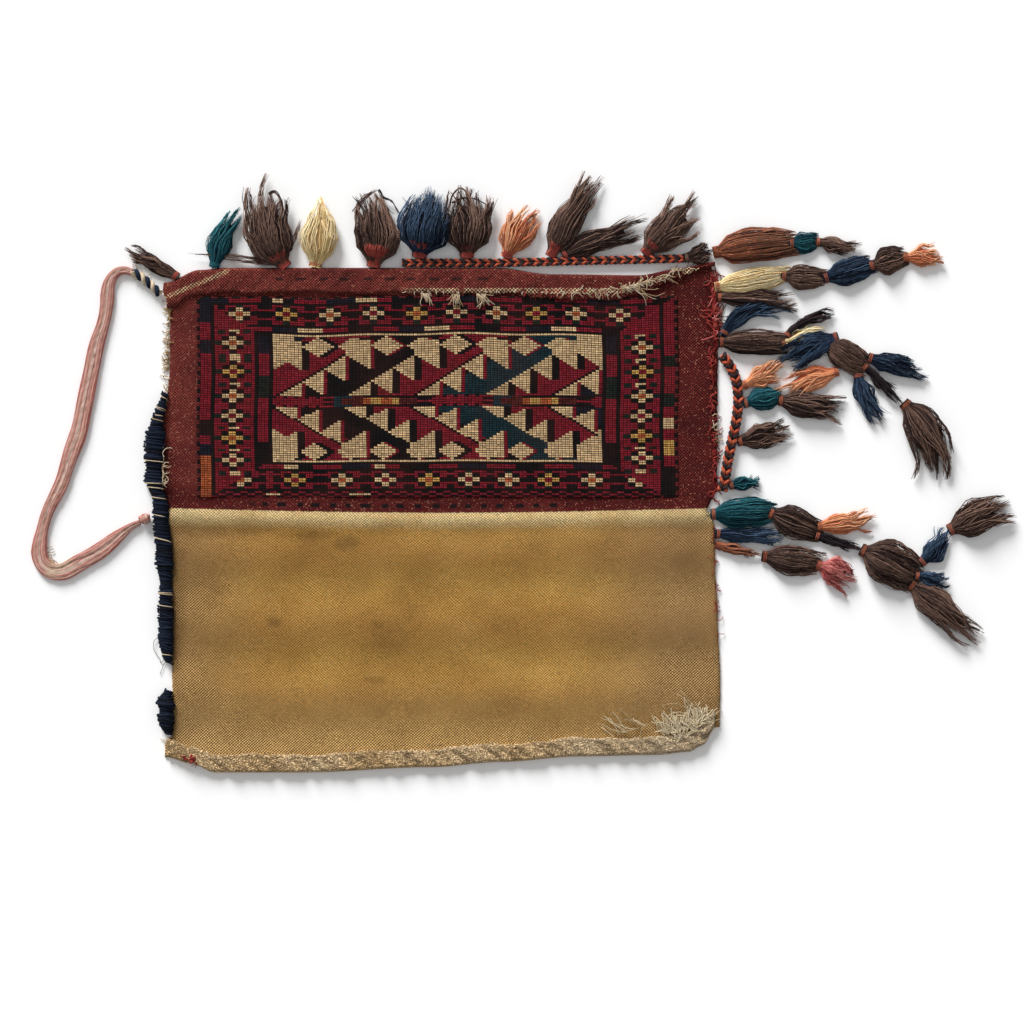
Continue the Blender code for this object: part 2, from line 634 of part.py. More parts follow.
def build_strap_knot(material):
    """The knot that ties the strap's lower end against the mouth binding."""
    before, end = [Vector((-CLOTH_WIDTH / 2 + x, y, 0.0)) for x, y in STRAP_ROUTE[-2:]]
    along = (end - before).normalized()
    heading = math.atan2(along.y, along.x)
    start = end + along * SEAT_GAP
    finish = Vector((binding_outside(end.y) - SEAT_GAP, end.y + 0.0035, 0.0))
    bm = bmesh.new()
    rings = []
    for place, size in ((0.0, 0.75), (0.25, 1.0), (0.7, 1.0), (1.0, 0.5)):
        rings.append(add_ring(bm, start.lerp(finish, place), heading * (1 - place), KNOT_WIDTH * size,
                              KNOT_WIDTH * 0.8 * size, 8, groove=0.06))
    ends = [sum((vert.co for vert in ring), Vector()) / len(ring) for ring in (rings[0], rings[-1])]
    join_rings(bm, rings, *ends)
    add_object("strap_knot", bm, [material])


def side_braid_route():
    """The side braid's smooth route, beside the right edge."""
    edge = CLOTH_WIDTH / 2
    return smooth_route([Vector((edge + x, y, 0.0)) for x, y in SIDE_BRAID_ROUTE], 2)


def braid_outer_x(y):
    """X of the side braid's outer surface at a height above the crease."""
    route = side_braid_route()
    for upper, lower in zip(route, route[1:]):
        if lower.y <= y:
            share = (upper.y - y) / (upper.y - lower.y)
            lean = (lower - upper).length / (upper.y - lower.y)
            return upper.x + (lower.x - upper.x) * share + BRAID_WIDTH / 2 * lean
    return route[-1].x


def outermost(edge_of, place):
    """The farthest an edge reaches under a neck that is set square to it."""
    return max(edge_of(place + NECK_WIDTH * share) for share in (-0.5, -0.25, 0.0, 0.25, 0.5))


def seat_of(tuft, ends):
    """The point and heading at which a tuft's neck meets what carries it."""
    if tuft.carrier in ends:
        point, heading = ends[tuft.carrier]
        across = Vector((-math.sin(heading), math.cos(heading), 0.0))
        return point + across * tuft.place + turn(heading) * SEAT_GAP, heading
    if tuft.carrier in ("upper_edge", "right_edge"):
        y = top_edge(CLOTH_WIDTH / 2) - tuft.place if tuft.carrier == "upper_edge" else tuft.place
        return Vector((outermost(right_edge, y) + SEAT_GAP, y, 0.0)), 0.0
    if tuft.carrier == "side_braid":
        return Vector((outermost(braid_outer_x, tuft.place) + SEAT_GAP, tuft.place, 0.0)), 0.0
    if tuft.carrier == "braid_end":
        x = braid_ends()[1]
        return Vector((x + SEAT_GAP, top_braid_middle(x), 0.0)), 0.0
    if tuft.carrier == "left_corner":
        corner = left_edge(FRONT_HEIGHT)
        before, after = corner + ROUNDED_EDGE, column_lines()[0] - STEP_RUN
        slope = (top_edge(after) - top_edge(before)) / (after - before)
        x = corner + 0.012
        heading = math.pi / 2 + math.atan(slope)
        seat = Vector((x, top_edge(before) + slope * (x - before), 0.0))
        return seat + turn(heading) * SEAT_GAP * 2, heading
    x = CLOTH_WIDTH * (tuft.place - 0.5)
    carrier = top_edge if tuft.carrier == "top_edge" else top_braid_top
    return Vector((x, outermost(carrier, x) + SEAT_GAP, 0.0)), math.pi / 2


def build_tufts(wools):
    """Every tassel and every tuft of the compound tassels, each tied to the one before it."""
    ends = {}
    for tuft in TUFTS:
        start, heading = seat_of(tuft, ends)
        ends[tuft.name] = build_tuft(tuft, start, heading, wools[tuft.wool])


def main():
    """Build the whole bag."""
    clear_scene()
    faces = [make_material(f"{name} cloth", colour) for name, colour in FACE_COLOURS.items()]
    wools = {name: make_material(f"{name} wool", colour) for name, colour in WOOL_COLOURS.items()}
    build_cloth(faces)
    build_binding("mouth_binding", MOUTH_BINDING, wools["navy"])
    build_binding("lower_mouth_binding", LOWER_BINDING, wools["navy"])
    build_top_braid(wools["braid"])
    build_tufts(wools)
    mouth = -CLOTH_WIDTH / 2
    strap = smooth_route([Vector((mouth + x, y, 0.0)) for x, y in STRAP_ROUTE], 2)
    tie = smooth_route([Vector((mouth + x, y, 0.0)) for x, y in STRAP_CORD_ROUTE], 3)
    build_cord("strap", strap, STRAP_WIDTH, STRAP_THICKNESS, wools["strap pink"], 2)
    build_cord("strap_cord", tie, STRAP_CORD_WIDTH, STRAP_CORD_WIDTH, wools["dark"], 2)
    build_cord("side_braid", side_braid_route(), BRAID_WIDTH, BRAID_WIDTH, wools["braid"], 2)
    build_strap_knot(wools["strap pink"])


main()
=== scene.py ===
"""The woven bag, opened out flat and seen from straight above.

Everything is in metres in the CAD model's own frame: Z=0 is the ground, Y=0 the
crease between the red pile front (+Y) and the beige back (-Y), and X=0 the
middle of the cloth.
"""
from __future__ import annotations

import logging
import math
from dataclasses import dataclass, field
from enum import Enum
from typing import Callable, Sequence

import bpy
import numpy as np
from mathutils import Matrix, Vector


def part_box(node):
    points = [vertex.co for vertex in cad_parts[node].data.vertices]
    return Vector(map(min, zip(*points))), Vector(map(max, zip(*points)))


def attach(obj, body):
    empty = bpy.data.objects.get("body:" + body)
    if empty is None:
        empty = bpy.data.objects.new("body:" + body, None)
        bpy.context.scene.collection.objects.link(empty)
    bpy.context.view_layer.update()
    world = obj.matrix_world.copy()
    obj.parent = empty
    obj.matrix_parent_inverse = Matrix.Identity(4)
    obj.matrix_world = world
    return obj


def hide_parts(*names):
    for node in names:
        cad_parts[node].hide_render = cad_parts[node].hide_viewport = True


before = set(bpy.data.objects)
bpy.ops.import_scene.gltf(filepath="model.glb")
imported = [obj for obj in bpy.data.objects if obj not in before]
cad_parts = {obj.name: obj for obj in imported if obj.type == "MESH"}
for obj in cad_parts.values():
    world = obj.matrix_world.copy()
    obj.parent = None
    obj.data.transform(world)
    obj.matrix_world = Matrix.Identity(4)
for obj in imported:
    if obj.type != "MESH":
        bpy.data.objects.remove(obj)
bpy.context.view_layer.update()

logging.basicConfig(level=logging.INFO, format="%(message)s")
LOG = logging.getLogger("woven bag")

BODY = "root"
CLOTH_WIDTH = 0.522
FRONT_HEIGHT = 0.228
BACK_HEIGHT = 0.251
CREASE_SAG = 0.0045
HEM_RISE = 0.0190
HEM_RISE_FROM = 0.168
HEM_RISE_RUN = 0.070
MOUTH = -CLOTH_WIDTH / 2
TASSEL_EDGE = CLOTH_WIDTH / 2
WARP_PITCH = 0.0029
RED_WEFT_PITCH = 0.0027
BEIGE_WEFT_PITCH = 0.0026
WEAVE_RELIEF = 0.0022
SIDE_BRAID_DIAMETER = 0.0085
PHOTO_PIXEL = 0.00095
PHOTO_SIZE = 1024
ORIGIN_PIXEL = (441.0, 508.0)
TAU = math.tau

Point = tuple[float, float]
Rgb = tuple[float, float, float]


def at(px: float, py: float, z: float = 0.0) -> Vector:
    """Turn a place in the photograph into a place in the model.

    Args:
        px: pixels from the photograph's left edge.
        py: pixels from its top edge.
        z: height above the ground, in metres.

    Returns:
        The point in the model's frame.
    """
    return Vector(((px - ORIGIN_PIXEL[0]) * PHOTO_PIXEL, (ORIGIN_PIXEL[1] - py) * PHOTO_PIXEL, z))


def linear(red: int, green: int, blue: int) -> Rgb:
    """Turn a colour as a screen shows it, 0 to 255, into the linear one that a shader takes."""
    shares = [value / 255 for value in (red, green, blue)]
    return tuple(s / 12.92 if s <= 0.04045 else ((s + 0.055) / 1.055) ** 2.4 for s in shares)


class Dye(Enum):
    """The dyed wools of the pile, each with its colour."""

    CRIMSON = linear(142, 30, 42)
    MADDER = linear(112, 40, 36)
    BROWN = linear(88, 36, 26)
    NAVY = linear(24, 32, 46)
    BLACK = linear(22, 18, 20)
    TEAL = linear(24, 58, 66)
    GREEN = linear(32, 44, 38)
    CREAM = linear(244, 212, 160)
    YELLOW = linear(224, 178, 98)
    ORANGE = linear(196, 104, 56)


@dataclass(frozen=True)
class Wool:
    """One kind of yarn: its colours along the thread, and how it shines.

    Attributes:
        name: the material's name.
        root: colour near the binding.
        tip: colour at the worn tips.
        dark: colour of the darkest strands.
        roughness: how matt it is.
        slot: the name of a material slot, which is passed along but not used.
    """

    name: str
    root: Rgb
    tip: Rgb
    dark: Rgb
    slot: str
    roughness: float = 0.9


class Yarn(Enum):
    """The yarns of the tassels, braids, bindings and strap."""

    BROWN = Wool("brown yarn", linear(102, 76, 67), linear(148, 116, 100), linear(44, 31, 29), "brown wool")
    TEAL = Wool("teal yarn", linear(26, 86, 98), linear(54, 118, 126), linear(12, 48, 60), "teal wool")
    NAVY = Wool("navy yarn", linear(40, 60, 86), linear(80, 102, 128), linear(14, 22, 38), "navy wool")
    BINDING = Wool("mouth edge yarn", linear(16, 26, 46), linear(34, 46, 68), linear(7, 10, 18), "navy wool")
    YELLOW = Wool("yellow yarn", linear(254, 232, 172), linear(255, 244, 206), linear(220, 182, 122),
                  "yellow wool")
    ORANGE = Wool("orange yarn", linear(244, 162, 114), linear(246, 192, 148), linear(186, 102, 70),
                  "orange wool")
    AMBER = Wool("amber yarn", linear(196, 116, 80), linear(150, 108, 86), linear(82, 50, 42), "amber wool")
    PINK = Wool("pink yarn", linear(206, 108, 104), linear(222, 148, 138), linear(146, 66, 66), "pink wool")
    DARK = Wool("dark yarn", linear(44, 34, 38), linear(66, 50, 50), linear(26, 20, 26), "dark wool")
    TIE = Wool("orange tie thread", linear(154, 80, 58), linear(182, 110, 84), linear(92, 44, 36),
               "orange wool")
    BRAID = Wool("orange braid yarn", linear(176, 76, 50), linear(208, 108, 76), linear(112, 40, 32),
                 "braid wool")
    RED_TIE = Wool("red tie thread", linear(172, 70, 62), linear(202, 102, 88), linear(116, 38, 38),
                   "pink wool")
    CREAM = Wool("cream thread", linear(206, 186, 156), linear(224, 208, 184), linear(166, 140, 108),
                 "red and beige cloth")
    RED = Wool("red thread", linear(150, 44, 42), linear(184, 84, 70), linear(112, 26, 28),
               "red and beige cloth")
    BEIGE = Wool("beige thread", linear(176, 146, 98), linear(204, 180, 140), linear(138, 106, 62),
                 "red and beige cloth")
    FRAYED = Wool("pale warp ends", linear(214, 198, 164), linear(232, 220, 194), linear(172, 152, 116),
                  "red and beige cloth")
    GREY = Wool("grey thread", linear(150, 146, 138), linear(172, 168, 160), linear(112, 108, 102),
                "red and beige cloth")


class Socket:
    """One value in a material's node tree, which can be added to, multiplied and so on."""

    def __init__(self, tree: bpy.types.NodeTree, output: bpy.types.NodeSocket) -> None:
        """Wrap a node's output."""
        self.tree = tree
        self.output = output

    def _math(self, operation: str, *values: "Socket | float") -> "Socket":
        """Join values in one Math node and return its result."""
        node = self.tree.nodes.new("ShaderNodeMath")
        node.operation = operation
        for place, value in zip(node.inputs, values):
            if isinstance(value, Socket):
                self.tree.links.new(value.output, place)
            else:
                place.default_value = value
        return Socket(self.tree, node.outputs[0])

    def __add__(self, other: "Socket | float") -> "Socket":
        """Return self + other."""
        return self._math("ADD", self, other)

    def __sub__(self, other: "Socket | float") -> "Socket":
        """Return self - other."""
        return self._math("SUBTRACT", self, other)

    def __mul__(self, other: "Socket | float") -> "Socket":
        """Return self * other."""
        return self._math("MULTIPLY", self, other)

    def __truediv__(self, other: "Socket | float") -> "Socket":
        """Return self / other."""
        return self._math("DIVIDE", self, other)

    def __gt__(self, other: "Socket | float") -> "Socket":
        """Return 1 where self is greater than other."""
        return self._math("GREATER_THAN", self, other)

    def __abs__(self) -> "Socket":
        """Return the size of self."""
        return self._math("ABSOLUTE", self)

    def wave(self, pitch: float, phase: float = 0.0) -> "Socket":
        """Return a sine of self, from -1 to 1, that repeats every pitch."""
        return self._math("SINE", self * (TAU / pitch) + phase)

    def least(self, other: "Socket | float") -> "Socket":
        """Return the lesser of self and other."""
        return self._math("MINIMUM", self, other)

    def between(self, low: float, high: float) -> "Socket":
        """Return 0 below low, 1 above high and a smooth rise between them."""
        node = self.tree.nodes.new("ShaderNodeMapRange")
        node.interpolation_type = "SMOOTHSTEP"
        self.tree.links.new(self.output, node.inputs["Value"])
        node.inputs["From Min"].default_value = low
        node.inputs["From Max"].default_value = high
        return Socket(self.tree, node.outputs["Result"])


class Finish:
    """A material under construction, with short ways to add nodes."""

    def __init__(self, name: str, roughness: float) -> None:
        """Start a matt material with one shader."""
        self.material = bpy.data.materials.new(name)
        self.material.use_nodes = True
        self.tree = self.material.node_tree
        self.shader = self.tree.nodes["Principled BSDF"]
        self.shader.inputs["Roughness"].default_value = roughness
        self.shader.inputs["Specular IOR Level"].default_value = 0.2

    def node(self, kind: str, settings: dict[str, object] | None = None,
             inputs: dict[str, object] | None = None) -> bpy.types.Node:
        """Add a node.

        Args:
            kind: the node's type, without ShaderNode in front.
            settings: the node's own properties.
            inputs: values or Sockets for its inputs, by name.

        Returns:
            The new node.
        """
        made = self.tree.nodes.new("ShaderNode" + kind)
        for key, value in (settings or {}).items():
            setattr(made, key, value)
        for key, value in (inputs or {}).items():
            if isinstance(value, Socket):
                self.tree.links.new(value.output, made.inputs[key])
            else:
                made.inputs[key].default_value = value
        return made

    def place(self) -> tuple[Socket, Socket, Socket]:
        """Return the surface's own X, Y and Z in metres."""
        coordinates = self.node("TexCoord")
        apart = self.node("SeparateXYZ")
        self.tree.links.new(coordinates.outputs["Object"], apart.inputs[0])
        return tuple(Socket(self.tree, apart.outputs[axis]) for axis in "XYZ")

    def noise(self, scale: float, detail: float = 2.0, stretch: Rgb = (1.0, 1.0, 1.0)) -> Socket:
        """Return a smooth random value from 0 to 1.

        Args:
            scale: how many blobs there are in a metre.
            detail: how many finer layers it has.
            stretch: how much finer it is along X, Y and Z.

        Returns:
            The noise.
        """
        coordinates = self.node("TexCoord")
        mapping = self.node("Mapping", inputs={"Scale": stretch})
        self.tree.links.new(coordinates.outputs["Object"], mapping.inputs["Vector"])
        made = self.node("TexNoise", inputs={"Scale": scale, "Detail": detail})
        self.tree.links.new(mapping.outputs[0], made.inputs["Vector"])
        return Socket(self.tree, made.outputs["Fac"])

    def attribute(self, name: str) -> tuple[Socket, Socket]:
        """Return a mesh attribute's colour and its alpha."""
        made = self.node("Attribute", {"attribute_name": name})
        return Socket(self.tree, made.outputs["Color"]), Socket(self.tree, made.outputs["Alpha"])

    def mix(self, share: Socket | float, first: Socket | Rgb, second: Socket | Rgb,
            blend: str = "MIX") -> Socket:
        """Return a mix of two colours: all first at 0 and all second at 1."""
        made = self.node("Mix", {"data_type": "RGBA", "blend_type": blend, "clamp_result": False})
        for place, value in ((made.inputs[0], share), (made.inputs[6], first), (made.inputs[7], second)):
            if isinstance(value, Socket):
                self.tree.links.new(value.output, place)
            else:
                place.default_value = value if isinstance(value, float) else (*value, 1.0)
        return Socket(self.tree, made.outputs[2])

    def ramp(self, value: Socket, stops: Sequence[tuple[float, Rgb]]) -> Socket:
        """Return a colour read from stops of (place, colour)."""
        made = self.node("ValToRGB", inputs={"Fac": value})
        elements = made.color_ramp.elements
        while len(elements) < len(stops):
            elements.new(0.5)
        for element, (place, colour) in zip(elements, stops):
            element.position = place
            element.color = (*colour, 1.0)
        return Socket(self.tree, made.outputs[0])

    def colour(self, value: Socket) -> None:
        """Give the surface its colour."""
        self.tree.links.new(value.output, self.shader.inputs["Base Color"])

    def relief(self, height: Socket, depth: float) -> None:
        """Give the surface fine relief of the given depth in metres."""
        bump = self.node("Bump", inputs={"Height": height, "Distance": depth, "Strength": 1.0})
        self.tree.links.new(bump.outputs[0], self.shader.inputs["Normal"])


class Knitter:
    """Collects the points, faces and dyes of one piece and turns them into an object."""

    def __init__(self) -> None:
        """Start with nothing."""
        self.points: list[np.ndarray] = []
        self.faces: list[np.ndarray] = []
        self.tints: list[np.ndarray] = []
        self.marks: list[np.ndarray] = []
        self.count = 0

    def add(self, points: np.ndarray, faces: np.ndarray, tint: np.ndarray, mark: int = 0) -> None:
        """Add a patch of quads.

        Args:
            points: n by 3 places.
            faces: m by 4 indices into those places.
            tint: n by 4 values of the dye attribute.
            mark: which of the piece's materials it takes.
        """
        self.marks.append(np.full(len(faces), mark))
        self.points.append(points)
        self.faces.append(faces + self.count)
        self.tints.append(tint)
        self.count += len(points)

    def tube(self, path: np.ndarray, radii: np.ndarray, sides: int, tint: np.ndarray,
             squeeze: float | np.ndarray = 1.0, mark: int = 0) -> None:
        """Add a thread along a path.

        Args:
            path: n by 3 places.
            radii: n radii.
            sides: how many sides it has.
            tint: n by 4 values of the dye attribute, one for each place.
            squeeze: its height as a share of its width.
            mark: which of the piece's materials it takes.
        """
        ahead = np.gradient(path, axis=0)
        ahead /= np.maximum(np.linalg.norm(ahead, axis=1, keepdims=True), 1e-9)
        across = np.stack([-ahead[:, 1], ahead[:, 0], np.zeros(len(path))], axis=1)
        across /= np.maximum(np.linalg.norm(across, axis=1, keepdims=True), 1e-9)
        up = np.cross(ahead, across) * squeeze
        angles = TAU * np.arange(sides) / sides
        ring = (np.cos(angles)[None, :, None] * across[:, None, :]
                + np.sin(angles)[None, :, None] * up[:, None, :])
        points = (path[:, None, :] + ring * radii[:, None, None]).reshape(-1, 3)
        starts = np.arange(len(path) - 1)[:, None] * sides
        side = np.arange(sides)[None, :]
        beside = (side + 1) % sides
        faces = np.stack([starts + side, starts + beside, starts + sides + beside, starts + sides + side],
                         axis=-1).reshape(-1, 4)
        caps = []
        for first in (0, (len(path) - 1) * sides):
            for step in range(1, sides - 1, 2):
                caps.append([first, first + step, first + step + 1, first + (step + 2) % sides])
        self.add(points, np.vstack([faces, np.array(caps)]), np.repeat(tint, sides, axis=0), mark)

    def finish(self, name: str, *materials: bpy.types.Material, smooth: bool = True) -> bpy.types.Object:
        """Make the object.

        Args:
            name: the piece's name.
            materials: what it is made of, in the order of its marks.
            smooth: whether its faces shade smoothly.

        Returns:
            The object, not yet riding on anything.
        """
        points = np.vstack(self.points)
        quads = np.vstack(self.faces)
        mesh = bpy.data.meshes.new(name)
        triangle = quads[:, 3] == quads[:, 0]
        sizes = np.where(triangle, 3, 4)
        mesh.vertices.add(len(points))
        mesh.vertices.foreach_set("co", points.astype(np.float32).ravel())
        keep = np.ones_like(quads, bool)
        keep[triangle, 3] = False
        mesh.loops.add(int(sizes.sum()))
        mesh.loops.foreach_set("vertex_index", quads[keep].astype(np.int32))
        mesh.polygons.add(len(quads))
        mesh.polygons.foreach_set("loop_start", np.concatenate([[0], np.cumsum(sizes)[:-1]]).astype(np.int32))
        mesh.update(calc_edges=True)
        dye = mesh.color_attributes.new("dye", "FLOAT_COLOR", "POINT")
        dye.data.foreach_set("color", np.vstack(self.tints).astype(np.float32).ravel())
        mesh.polygons.foreach_set("material_index", np.concatenate(self.marks).astype(np.int32))
        mesh.validate()
        for material in materials:
            mesh.materials.append(material)
        if smooth:
            mesh.shade_smooth()
        item = bpy.data.objects.new(name, mesh)
        bpy.context.scene.collection.objects.link(item)
        return item


def smooth_route(points: Sequence[Point], per_span: int, height: float) -> np.ndarray:
    """Follow one smooth curve through a route's own points.

    Args:
        points: the route, as X and Y in metres.
        per_span: how many steps lie between two of its points.
        height: Z of the whole route.

    Returns:
        n by 3 places.
    """
    route = np.array([(x, y, height) for x, y in points])
    padded = np.vstack([route[0] * 2 - route[1], route, route[-1] * 2 - route[-2]])
    places = []
    for a, b, c, d in zip(padded, padded[1:], padded[2:], padded[3:]):
        for step in range(per_span):
            t = step / per_span
            places.append(0.5 * (2 * b + (c - a) * t + (2 * a - 5 * b + 4 * c - d) * t * t
                                 + (3 * b - a - 3 * c + d) * t ** 3))
    return np.array([*places, route[-1]])


def evenly(path: np.ndarray, step: float) -> np.ndarray:
    """Space a path's points evenly, about step apart."""
    runs = np.concatenate([[0], np.cumsum(np.linalg.norm(np.diff(path, axis=0), axis=1))])
    count = max(4, int(round(runs[-1] / step)) + 1)
    places = np.linspace(0, runs[-1], count)
    return np.stack([np.interp(places, runs, path[:, axis]) for axis in range(3)], axis=1)


def length_of(path: np.ndarray) -> float:
    """Return a path's length in metres."""
    return float(np.linalg.norm(np.diff(path, axis=0), axis=1).sum())


def beside(path: np.ndarray) -> np.ndarray:
    """Return the level unit vector to the left of each place on a path."""
    ahead = np.gradient(path, axis=0)
    across = np.stack([-ahead[:, 1], ahead[:, 0], np.zeros(len(path))], axis=1)
    return across / np.maximum(np.linalg.norm(across, axis=1, keepdims=True), 1e-9)


def tint(count: int, along: np.ndarray | float, shade: float, extra: float = 0.0) -> np.ndarray:
    """Pack the share along a thread, its own shade and one more value into a dye attribute."""
    values = np.zeros((count, 4))
    values[:, 0] = along
    values[:, 1] = shade
    values[:, 2] = extra
    values[:, 3] = 1.0
    return values


_yarn_finishes: dict[Yarn, bpy.types.Material] = {}


def yarn_finish(yarn: Yarn) -> bpy.types.Material:
    """Return the material of a yarn: its root, tip and dark colours mixed strand by strand."""
    if yarn in _yarn_finishes:
        return _yarn_finishes[yarn]
    wool = yarn.value
    finish = Finish(wool.name, wool.roughness)
    packed, _ = finish.attribute("dye")
    apart = finish.node("SeparateColor", inputs={"Color": packed})
    along, shade = Socket(finish.tree, apart.outputs[0]), Socket(finish.tree, apart.outputs[1])
    paler = along * 0.6 - shade * 0.4 + finish.noise(260.0, 2.0) * 0.9 - 0.2
    colour = finish.mix(paler.between(0.05, 0.85), wool.root, wool.tip)
    colour = finish.mix(shade.between(0.35, 1.0), colour, wool.dark)
    fuzz = finish.noise(1300.0, 3.0)
    colour = finish.mix(fuzz.between(0.35, 0.65) * 0.45, colour, wool.dark)
    finish.colour(colour)
    finish.relief(finish.noise(2600.0, 2.0), 0.0004)
    _yarn_finishes[yarn] = finish.material
    return finish.material


def dress(item: bpy.types.Object, slot: str, *nodes: str) -> bpy.types.Object:
    """Set a piece on the bag's one body and hide the CAD nodes that it stands for."""
    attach(item, BODY)
    if nodes:
        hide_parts(*nodes)
    return item


@dataclass(frozen=True)
class Lock:
    """A lock of a tuft: strands that lie together and share a tip.

    Attributes:
        side: where its middle lies across the bunch, -1 to 1.
        level: where it lies between the bunch's underside and its top, 0 to 1.
        reach: its length as a share of the tuft's.
        sweep: how far its tip is carried to the left, in metres.
        shade: how dark it is, 0 to 1.
        phase: where its crimp begins, in turns.
    """

    side: float
    level: float
    reach: float
    sweep: float
    shade: float
    phase: float


def rising(share: np.ndarray) -> np.ndarray:
    """Return a smooth rise from 0 to 1 as the share goes from 0 to 1."""
    share = np.clip(share, 0, 1)
    return share * share * (3 - 2 * share)


@dataclass
class Tuft:
    """One bunch of wool, bound at its neck and frayed at its tip.

    Attributes:
        name: the CAD node that it replaces.
        yarn: what it is spun from.
        start: where its neck is tied.
        heading: its middle direction, in degrees from +X.
        length: from its tie to its tips.
        width: across its belly.
        bend: how far it turns along its length, in degrees.
        blunt: whether it ends in the next tie instead of loose tips.
        wild: how far its locks stray.
        gather: how closely the strands of a lock meet at its tip.
        tie: the thread round its neck.
        sheath: how far loose ends of the tie thread run up over the wool, in metres.
        tip: half its width at the tips, as a share of its width.
        lean: how far its tips are carried to the left, in metres.
    """

    name: str
    yarn: Yarn
    start: Point
    heading: float
    length: float
    width: float
    bend: float = 0.0
    blunt: bool = False
    wild: float = 1.0
    gather: float = 0.86
    tie: Yarn = Yarn.TIE
    sheath: float = 0.0
    tip: float = 0.40
    lean: float = 0.0
    stations: int = 10
    thread_radius: float = 0.00046
    neck_height: float = 0.0052

    def axis(self, shares: np.ndarray) -> tuple[np.ndarray, np.ndarray]:
        """Return the middle line's places and the level unit vectors to its left."""
        fine = np.linspace(0, 1.25, 51)
        turned = np.radians(self.heading + self.bend * (fine - 0.5))
        steps = np.stack([np.cos(turned), np.sin(turned)], axis=1) * self.length * (fine[1] - fine[0])
        line = np.vstack([[0, 0], np.cumsum((steps[:-1] + steps[1:]) / 2, axis=0)]) + np.array(self.start)
        places = np.stack([np.interp(shares, fine, line[:, 0]), np.interp(shares, fine, line[:, 1]),
                           np.zeros(len(shares))], axis=1)
        angle = np.interp(shares, fine, turned)
        return places, np.stack([-np.sin(angle), np.cos(angle), np.zeros(len(shares))], axis=1)

    def envelope(self, shares: np.ndarray) -> tuple[np.ndarray, np.ndarray]:
        """Return half the width and the height of the bunch at shares of its length."""
        neck = min(0.25, 0.0072 / self.length)
        tip = 0.42 if self.blunt else self.tip
        neck_half = 0.0026 + 0.08 * self.width
        places = [0.0, neck * 0.35, neck, neck + 0.12, 0.45, 0.8, 1.0, 1.3]
        halves = [neck_half, neck_half, neck_half * 1.05, 0.44 * self.width, 0.53 * self.width,
                  (0.20 + 0.75 * tip) * self.width, tip * self.width, 0.8 * tip * self.width]
        belly = max(0.0062, self.width * 0.40)
        heights = [self.neck_height, 0.005, 0.005, belly * 0.85, belly, belly * 0.75, 0.0044, 0.003]
        return np.interp(shares, places, halves), np.interp(shares, places, heights)

    def part_locks(self, rng: np.random.Generator) -> list[Lock]:
        """Part the bunch into locks, from one side to the other and in two layers."""
        count = max(4, round(3 + self.width * 260))
        locks = []
        for index in range(count):
            side = -0.9 + 1.8 * (index + rng.uniform(0.2, 0.8)) / count
            reach = rng.uniform(1.04, 1.2) if self.blunt else rng.uniform(0.84, 1.12) - 0.14 * abs(side)
            sweep = self.lean + rng.normal(0, 0.15) * self.width * (0.3 if self.blunt else self.wild)
            locks.append(Lock(side, rng.uniform(0.45, 1.0), reach, sweep, rng.uniform(0.0, 1.0),
                              rng.random()))
        return locks

    def strand(self, rng: np.random.Generator, lock: Lock) -> tuple[np.ndarray, np.ndarray]:
        """Shape one strand of a lock.

        Args:
            rng: the tuft's own random numbers.
            lock: the lock that it belongs to.

        Returns:
            Its places and its radii.
        """
        loose_by = 0.3 if self.blunt else self.wild
        side = float(np.clip(lock.side + rng.normal(0, 0.20), -1, 1))
        stray = rng.random() < 0.08
        reach = lock.reach * (rng.uniform(0.86, 1.0) if self.blunt else 1.02 - 0.42 * rng.random() ** 2.2)
        shares = np.linspace(-0.02, reach, self.stations)
        own = shares / lock.reach
        middle, left = self.axis(np.maximum(shares, 0))
        half, height = self.envelope(np.maximum(shares, 0))
        met = rising((own - 0.4) / 0.6) * (0.35 if stray else (0.4 if self.blunt else self.gather))
        across = (side + (lock.side - side) * met) * half
        across = across + lock.sweep * np.clip(own - 0.3, 0, 1) ** 1.7 * 2.0
        loose = np.clip((own - 0.45) / 0.55, 0, 1) ** 1.6 * loose_by
        across = across + loose * rng.normal(0, 0.0036 if stray else 0.0013)
        crimp = (0.0016 * np.sin(TAU * (own * 1.15 + lock.phase))
                 + 0.0007 * np.sin(TAU * (own * 2.7 + lock.phase * 3)))
        across = across + crimp * rising(own / 0.5) * (0.55 if self.blunt else 1.0)
        waver = np.sin(TAU * (own * rng.uniform(1.5, 4.0) + rng.random()))
        across = across + 0.0005 * waver * np.clip(own, 0, 1)
        level = min(1.0, max(0.05, lock.level + rng.normal(0, 0.2)))
        rise = height / 2 * (1 + (2 * level - 1) * math.sqrt(max(0.0, 1 - side * side)))
        rise = rise + loose * rng.uniform(-0.2, 0.8) * 0.0016
        radii = self.thread_radius * rng.uniform(0.6, 1.3) * np.interp(
            shares / reach, [0, 0.2, 0.6, 0.88, 1.0], [0.85, 1.0, 1.05, 0.9, 0.8 if self.blunt else 0.4])
        places = middle + left * across[:, None]
        places[:, 2] = np.maximum(rise, radii + 0.0001)
        return places, radii

